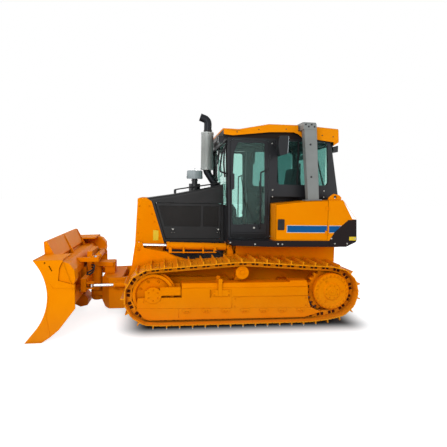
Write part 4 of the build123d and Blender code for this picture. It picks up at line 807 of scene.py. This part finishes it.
# -------------------- fenders and their box doors
# Folded steel boxes in orange, each with a stripe of blue film edged in white along its outer
# side, over a black sill. The door hangs on the rear edge and shuts with a recessed latch.
fender_orange = enamel("fender_orange", (250, 144, 0), (255, 160, 12), level=0.14,
                       sheen=warm_gloss, second=(24, 28, 36),
                       tests=[("z", "<", 1.0915), ("y", ">", 1.0105)], join="MAXIMUM")
coat_nodes(fender_orange, *both("fender"))
stripe_blue = enamel("stripe_blue", (0, 84, 146), (4, 98, 160), rough=0.4, skin=0.02, edge=0.0,
                     level=0.12)
stripe_white = enamel("stripe_white", (222, 220, 212), (236, 234, 226), rough=0.35, skin=0.02,
                      edge=0.0)
latch_black = enamel("latch_black", (26, 26, 28), (50, 50, 52), rough=0.4, skin=0.2)


def film(mesh, outline, sign, y=1010):
    """Self-adhesive film, 0.7 mm thick, on the box door or on a face that is y mm off the middle."""
    slab(mesh, outline, sign * y, sign * (y + 0.7))


stripe_low, stripe_high, edging = 1199, 1281, 7
for side, sign in sides:
    stripe, border = bmesh.new(), bmesh.new()
    film(stripe, rect(-1038, stripe_low, -512, stripe_high), sign)
    for z in (stripe_low - edging, stripe_high):
        film(border, rect(-1038, z, -505, z + edging), sign)
    film(border, rect(-512, stripe_low, -505, stripe_high), sign)
    add_piece(f"door_stripe_{side}", stripe, stripe_blue, f"box_door_{side}")
    add_piece(f"door_stripe_edge_{side}", border, stripe_white, f"box_door_{side}")
    stripe, border = bmesh.new(), bmesh.new()
    film(stripe, [(-1144, stripe_low), (-1228, stripe_high), (-1066, stripe_high), (-1066, stripe_low)],
         sign)
    for z in (stripe_low - edging, stripe_high):
        u = -1136 - (z - stripe_low + edging) * 1.03
        film(border, [(u, z), (u - edging, z + edging), (-1066, z + edging), (-1066, z)], sign)
    add_piece(f"fender_stripe_{side}", stripe, stripe_blue)
    add_piece(f"fender_stripe_edge_{side}", border, stripe_white)
    label = bmesh.new()
    film(label, rect(-1437, 1096, -1342, 1145), sign, 1015)
    add_piece(f"fender_label_{side}", label, sticker_yellow)

    # latch: black pan with a paddle in it, and the seams of the box
    latch = bmesh.new()
    slab(latch, rect(-470, 1226, -386, 1362), sign * 1009, sign * 1023, 1.5, 10)
    slab(latch, rect(-456, 1244, -400, 1322), sign * 1022, sign * 1027, 2, 6)
    turned(latch, [(0, 5), (9, 5), (11, 2), (11, -3)], at(-428, sign * 1023, 1342), (0, sign, 0), 20)
    add_piece(f"box_latch_{side}", latch, latch_black, f"box_door_{side}")
    seams = bmesh.new()
    rod(seams, at(-1436, sign * 1008, 1372), at(-1240, sign * 1008, 1612), 2.5, 8)
    for u0, z0, u1, z1 in ((-757, 1596.4, -364, 1552), (-1238, 1616.5, -757, 1596.5)):
        rod(seams, at(u0, sign * 962, z0), at(u1, sign * 962, z1), 2.2, 8)
    add_piece(f"fender_seams_{side}", seams, fender_orange)
    heads = bmesh.new()
    side_bolts(heads, sign, 1010, ((-397, 1049), (-453, 1045), (214, 1066), (-100, 1046)), 16, 9)
    side_bolts(heads, sign, 1015, ((-1148, 1055), (-1316, 1055), (-1420, 1120), (-1100, 1120)), 16, 9)
    add_piece(f"fender_bolts_{side}", heads, zinc)
    # round hole of the lifting eye gets its rolled lip
    lip = bmesh.new()
    turned(lip, [(20, -13), (26, -13), (27, -11), (27, 11), (26, 13), (20, 13), (20, -13)],
           at(-1148, sign * 962, 1652), (0, 1, 0))
    add_piece(f"lifting_lip_{side}", lip, orange)
    # ribbed tread plate on the sill below the door
    tread = bmesh.new()
    for k in range(12):
        slab(tread, rect(-320 + k * 42, 1088.5, -302 + k * 42, 1092.5), sign * 790, sign * 990, 1)
    add_piece(f"step_tread_{side}", tread, latch_black)


# -------------------- piston rods
# Ground and hard-chromed steel, mirror bright, with a rubber wiper where each leaves its barrel.
chrome = enamel("hard_chrome", (196, 200, 202), (222, 226, 228), rough=0.16, skin=0.0,
                edge=0.0, metal=1.0)
coat_nodes(chrome, "tilt_rod", *both("lift_rod", "angle_rod"))


# -------------------- lift, angle and tilt cylinders
# Honed steel tubes with a bolted gland at the mouth and a welded eye. A hard pipe, held by two
# straps, feeds the far end of each lift cylinder; braided hoses join it to the hull.
hose_black = enamel("hose_rubber", (26, 26, 27), (58, 58, 58), rough=0.6, skin=0.5)


def add_hose(name, route, radius):
    """A hose along control points in mm that runs from a cylinder to the hull."""
    line = bpy.data.objects.new(name + "_line", tube(name + "_line", [route], radius, 12))
    data = bpy.data.meshes.new_from_object(line)
    bpy.data.objects.remove(line)
    data.name = name
    data.materials.clear()
    data.materials.append(hose_black)
    made = new_object(name, data)
    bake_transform(made)


def pin_head(mesh, place, facing, radius, height, chamfer=4):
    """The turned head of a pin, sizes in mm."""
    turned(mesh, [(0, height), (radius - chamfer, height), (radius, height - chamfer), (radius, 0)],
           place, facing)


# pins of the lift cylinder on the hull's middle plane, and how far to the side they are
lift_rear, lift_front, lift_y = Vector((150, 0, 945)), Vector((1350, 0, 972)), 503
lift_run = (lift_front - lift_rear).normalized()
lift_fall = Vector((lift_run.z, 0, -lift_run.x))
for side, sign in sides:
    def on_lift(along, off=0.0, down=0.0):
        """A place on a lift cylinder: mm from its rear pin, sideways and below its middle."""
        return at(*(lift_rear + Vector((0, sign * (lift_y + off), 0)) + lift_run * along + lift_fall * down))

    outwards = (0, sign, 0)
    barrel = bmesh.new()
    for start, end, radius in ((40, 52, 51), (798, 836, 52)):
        rod(barrel, on_lift(start), on_lift(end), radius, 32)
    for off, down in ring(8, 22, 40):
        bolt(barrel, on_lift(836, off, down), lift_run, 12, 8)
    for along in (210, 350, 620, 740):
        rod(barrel, on_lift(along - 9), on_lift(along + 9), 49.5, 32)
    # straps reach over the barrel and down its outer side, where they hold the feed pipe
    straps = bmesh.new()
    for mesh, places, half, y_in, y_out, low, soft in ((barrel, (345, 942), 20, 530, 573, 872, 4),
                                                       (straps, (505, 765), 12, 540, 575, 868, 3)):
        for u in places:
            slab(mesh, rect(u - half, 926, u + half, 950), sign * y_in, sign * y_out, soft)
            slab(mesh, rect(u - half, low, u + half, 934), sign * 557, sign * y_out, soft)
    add_piece(f"lift_barrel_trim_{side}", barrel, orange, f"lift_barrel_{side}")
    pipe = [(u, sign * 566, z) for u, z in ((945, 886), (925, 881), (640, 879), (352, 880))]
    add_pipe(f"lift_pipe_{side}", [pipe], 8, orange, f"lift_barrel_{side}")
    add_piece(f"lift_pipe_straps_{side}", straps, orange, f"lift_barrel_{side}")
    hose = [(u, sign * y, z) for u, y, z in ((350, 563, 897), (300, 563, 893), (266, 562, 872),
            (246, 556, 826), (240, 520, 770), (236, 430, 720), (236, 322, 690))]
    add_hose(f"lift_hose_{side}", hose, 13)
    hose = [(u, sign * y, z) for u, y, z in ((775, 466, 700), (772, 486, 728), (752, 503, 762),
            (700, 503, 790), (640, 503, 790), (585, 503, 765), (558, 488, 745), (545, 466, 728))]
    add_pipe(f"horn_hose_{side}", [hose], 14, hose_black, "c_frame")

    # pin heads with their keeper plates: the lift rod's on the C-frame, the rest on the hull
    pins_frame, pins_hull = bmesh.new(), bmesh.new()
    pin_head(pins_frame, at(1350, sign * 553, 972), outwards, 30, 10)
    slab(pins_frame, [(1332, 955), (1368, 955), (1374, 905), (1328, 905)], sign * 553, sign * 559, 1)
    side_bolts(pins_frame, sign, 559, ((1350, 915), (1350, 938)), 15, 9)
    for z, way in ((406, -1), (494, 1)):
        pin_head(pins_frame, at(1095, sign * 512, z), (0, 0, way), 26, 8)
    add_piece(f"frame_pins_{side}", pins_frame, orange, "c_frame")
    pin_head(pins_hull, at(150, sign * 547, 945), outwards, 34, 12, 6)
    side_bolts(pins_hull, sign, 559, ((150, 945),), 24, 12)
    add_piece(f"hull_pins_{side}", pins_hull, orange)

    # welded rings of the angle cylinder, and its feed pipe on two stubs
    rear_eye, front_eye = Vector((1095, sign * 512, 450)), Vector((1950, sign * 548, 450))
    push = (front_eye - rear_eye).normalized()
    angle = bmesh.new()
    for start, end, up, radius, steps in ((36, 48, (0, 0), 38, 32), (548, 580, (0, 0), 40, 32),
                                          (90, 540, (40, 40), 7, 12), (90, 90, (20, 52), 12, 12),
                                          (540, 540, (20, 52), 12, 12)):
        first, last = [at(*(rear_eye + push * along + Vector((0, 0, z))))
                       for along, z in zip((start, end), up)]
        rod(angle, first, last, radius, steps)
    add_piece(f"angle_barrel_trim_{side}", angle, orange, f"angle_barrel_{side}")
# the same on the tilt cylinder, which lies across the yoke
tilt_u, tilt_y, tilt_z = 1932, -400, 762
tilt = bmesh.new()
for start, end, radius in ((36, 48, 41), (440, 474, 43)):
    rod(tilt, at(tilt_u, tilt_y + start, tilt_z), at(tilt_u, tilt_y + end, tilt_z), radius, 32)
rod(tilt, at(tilt_u, -320, 806), at(tilt_u, 50, 806), 7, 12)
for y in (-320, 50):
    rod(tilt, at(tilt_u, y, 780), at(tilt_u, y, 818), 12, 12)
add_piece("tilt_barrel_trim", tilt, orange, "tilt_barrel")


# -------------------- blade
# Rolled skin on two box beams, closed by end plates. The bolted cutting edge is hard steel that
# wears bright; each countersunk bolt shows its head on the face.
coat_nodes(shoe_orange, "cutting_edge")
worn_steel = enamel("worn_steel", (120, 116, 110), (168, 164, 156), rough=0.4, skin=0.3,
                    metal=0.6)
edge_bolts, gussets = bmesh.new(), bmesh.new()
edge_foot, edge_rise = Vector((2523, 0, 0)), Vector((-115, 0, 142))
face_out = Vector((edge_rise.z, 0, -edge_rise.x)).normalized()
for y in range(-1280, 1281, 160):
    for share in (0.35, 0.8):
        spot = edge_foot + edge_rise * share + Vector((0, y, 0))
        turned(edge_bolts, [(0, 2.5), (9, 2.5), (15, 1), (16, -1)], at(*spot), face_out, 16)
add_piece("cutting_edge_bolts", edge_bolts, worn_steel, "blade")
for sign in (1, -1):
    # weld beads: end plate to skin, gusset folds on its outer face, and the corner box
    for u0, z0, u1, z1 in ((2217, 607, 1992, 604), (2217, 607, 2255, 660), (2116, 909, 2060, 740),
                           (2060, 740, 2007, 578), (2253, 70, 2292, 300), (2292, 300, 2262, 520)):
        rod(gussets, at(u0, sign * 1380.5, z0), at(u1, sign * 1380.5, z1), 3, 8)
    rod(gussets, at(2126, sign * 1358, 916), at(2126, sign * 895, 916), 4, 8)
    rod(gussets, at(2426, sign * 891, 908), at(2436, sign * 891, 1056), 4, 8)
    rod(gussets, at(2424, sign * 1358, 909), at(2424, sign * 892, 909), 4, 8)
for y in (-150, 150):
    rod(gussets, at(2268, y, 332), at(2268, y, 612), 5, 8)
add_piece("blade_beads", gussets, orange, "blade")
pins_yoke = bmesh.new()
for y in (548, -548):
    pin_head(pins_yoke, at(1950, y, 493), upright, 26, 8)
pin_head(pins_yoke, at(1888, tilt_y, tilt_z), (-1, 0, 0), 28, 9)
for k in range(6):
    bolt(pins_yoke, at(2009, -540 + k * 216, 520), (-1, 0, 0), 20, 12)
add_pipe("yoke_hoses", [[(2014, 118, 640 - k), (1984, 146 + k, 652 - k), (1964, 200 + k, 640 - k),
         (1970, 268 + k, 610 - k), (2000, 306 + k, 585 - k), (2040, 320 + k, 575 - k), (2044, 322 + k, 540)]
         for k in (0, 34)], 11, hose_black, "blade_yoke")
add_piece("yoke_pins", pins_yoke, orange, "blade_yoke")
pins_blade = bmesh.new()
pin_head(pins_blade, at(1888, 280, tilt_z), (-1, 0, 0), 28, 9)
add_piece("blade_pin", pins_blade, orange, "blade")
# the upright pivot that the yoke turns on: its cap, and its boss below the nose of the C-frame
pivot_u = 1960
cap = bmesh.new()
turned(cap, [(0, 2), (24, 2), (27, 1), (27, 0)], at(pivot_u, 0, 690), upright)
for u, y in ring(6, 0, 60, pivot_u):
    bolt(cap, at(u, y, 680), upright, 16, 5)
turned(cap, [(0, 128), (52, 128), (70, 140), (78, 160), (78, 205)], at(pivot_u, 0, 0), upright, 32)
slab(cap, [(1780, 130), (1935, 140), (1935, 205), (1780, 205)], -66, 66, 8)
add_piece("pivot_cap", cap, orange, "c_frame")


# -------------------- operator's seat and console
# Moulded foam in charcoal cloth on a suspension base, with two arm rests. The console ahead of
# it carries the gauges; a joystick with a rubber boot stands on each arm rest.
seat_cloth, cloth_tree, cloth_shader = new_paint("seat_cloth")
cloth_place = add_node(cloth_tree, "TexCoord").outputs["Object"]
warp, weft = [add_node(cloth_tree, "TexWave", cloth_place, Scale=190.0, bands_direction=way).outputs["Fac"]
              for way in ("Y", "DIAGONAL")]
weave = add_node(cloth_tree, "Math", warp, weft, operation="MULTIPLY")
cloth_tone = add_node(cloth_tree, "Mix", weave, linear(38, 40, 44), linear(74, 78, 84), data_type="RGBA")
weave_bump = add_node(cloth_tree, "Bump", Strength=0.3, Distance=0.001, Height=weave)
fill(cloth_shader, Base_Color=cloth_tone, Normal=weave_bump, Roughness=0.9, Sheen_Weight=0.25,
     Specular_IOR_Level=0.2)


def baked(made):
    """The mesh of an object with its modifiers applied."""
    return bpy.data.meshes.new_from_object(made.evaluated_get(bpy.context.evaluated_depsgraph_get()))


# metres: voxels of the foam's skin, how far it may puff, and a sewn line's reach and depth
voxel, puff_limit, sewn_reach, sewn_depth = 0.011, 0.014, 0.02, 0.008


def pad(name, outline, half, inward, channels):
    """A crowned foam pad from its side outline; channels are (u, z) places of sewn lines across it."""
    block = bmesh.new()
    slab(block, outline, -half, half, 6)
    bmesh.ops.recalc_face_normals(block, faces=block.faces)
    foam = new_object(name + "_foam", mesh_data(name + "_block", block))
    grid = foam.modifiers.new("grid", "REMESH")
    grid.mode = "VOXEL"
    grid.voxel_size = voxel
    shape = baked(foam)
    bpy.data.objects.remove(foam)
    rest = [vertex.co.copy() for vertex in shape.vertices]
    skin = new_object(name + "_skin", shape)
    puff = skin.modifiers.new("puff", "CLOTH").settings
    puff.use_pressure = True
    puff.uniform_pressure_force = 4.0
    puff.effector_weights.gravity = 0.0
    for step in range(1, 21):
        scene.frame_set(step)
        bpy.context.view_layer.update()
    shape = baked(skin)
    bpy.data.objects.remove(skin)
    scene.frame_set(1)
    for vertex, start in zip(shape.vertices, rest):
        move = vertex.co - start
        if move.length > puff_limit:
            vertex.co = start + move.normalized() * puff_limit
        # sewn channels draw the cloth in
        for u, z in channels:
            away = (Vector((vertex.co.x, 0, vertex.co.z)) - at(u, 0, z)).length
            if away < sewn_reach:
                vertex.co += Vector(inward) * sewn_depth * (1 - away / sewn_reach)
    for face in shape.polygons:
        face.use_smooth = True
    made = link_object(name, shape, seat_cloth, "chassis")
    finer = made.modifiers.new("finer", "SUBSURF")
    finer.levels = finer.render_levels = 1
    return made


cushion = pad("seat_cushion", [(-862, 1400), (-392, 1400), (-372, 1434), (-398, 1486), (-862, 1470)], 238,
              (0, 0, -1), [(-530, 1482), (-690, 1478)])
pad("seat_back", [(-860, 1492), (-762, 1492), (-848, 2068), (-922, 2068)], 228,
    (-1, 0, 0), [(-785, 1640), (-808, 1790), (-830, 1940)])
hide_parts("cab_seat")

frame_steel = enamel("seat_steel", (30, 30, 32), (56, 56, 58), rough=0.45)
stand = bmesh.new()
slab(stand, rect(-824, 1060, -436, 1096), -196, 196, 5)
slab(stand, rect(-824, 1340, -436, 1388), -196, 196, 5)
for k in range(7):
    slab(stand, rect(-812 + (k % 2) * 10, 1098 + k * 34, -448 - (k % 2) * 10, 1130 + k * 34), -188, 188, 8)
slab(stand, [(-935, 1500), (-868, 1500), (-930, 2060), (-942, 2060)], -200, 200, 5)
for sign in (1, -1):
    slab(stand, rect(-676, 1060, -604, 1612), sign * 284, sign * 316, 6)
    slab(stand, rect(-800, 1400, -640, 1440), sign * 236, sign * 290, 6)
add_piece("seat_stand", stand, frame_steel)
rests = bmesh.new()
for sign in (1, -1):
    slab(rests, [(-816, 1614), (-414, 1614), (-402, 1676), (-816, 1676)], sign * 274, sign * 326, 12, 12)
    # joystick: boot, stem and grip
    turned(rests, [(38, 1676), (36, 1688), (28, 1694), (30, 1704), (20, 1712), (22, 1722), (12, 1732),
                   (0, 1732)], at(-460, sign * 300, 0), upright, 20)
    turned(rests, [(0, 1724), (9, 1726), (9, 1770), (19, 1786), (21, 1850), (16, 1872), (0, 1878)],
           at(-460, sign * 300, 0), upright, 20)
add_piece("arm_rests", rests, frame_steel, smooth=True)
panel = bmesh.new()
slab(panel, [(-38, 1062), (128, 1062), (148, 1478), (60, 1517), (2, 1430)], -228, 228, 10)
slab(panel, [(4, 1436), (56, 1514), (50, 1520), (-4, 1442)], -190, 190, 3)
add_piece("console_panel", panel, frame_steel)
dials = bmesh.new()
towards_seat = Vector((-78, 0, 56)).normalized()
for y in (-120, -40, 40, 120):
    turned(dials, [(0, 5), (27, 5), (31, 7), (34, 4), (34, -3)], at(27, y, 1481), towards_seat)
add_piece("console_dials", dials, zinc)
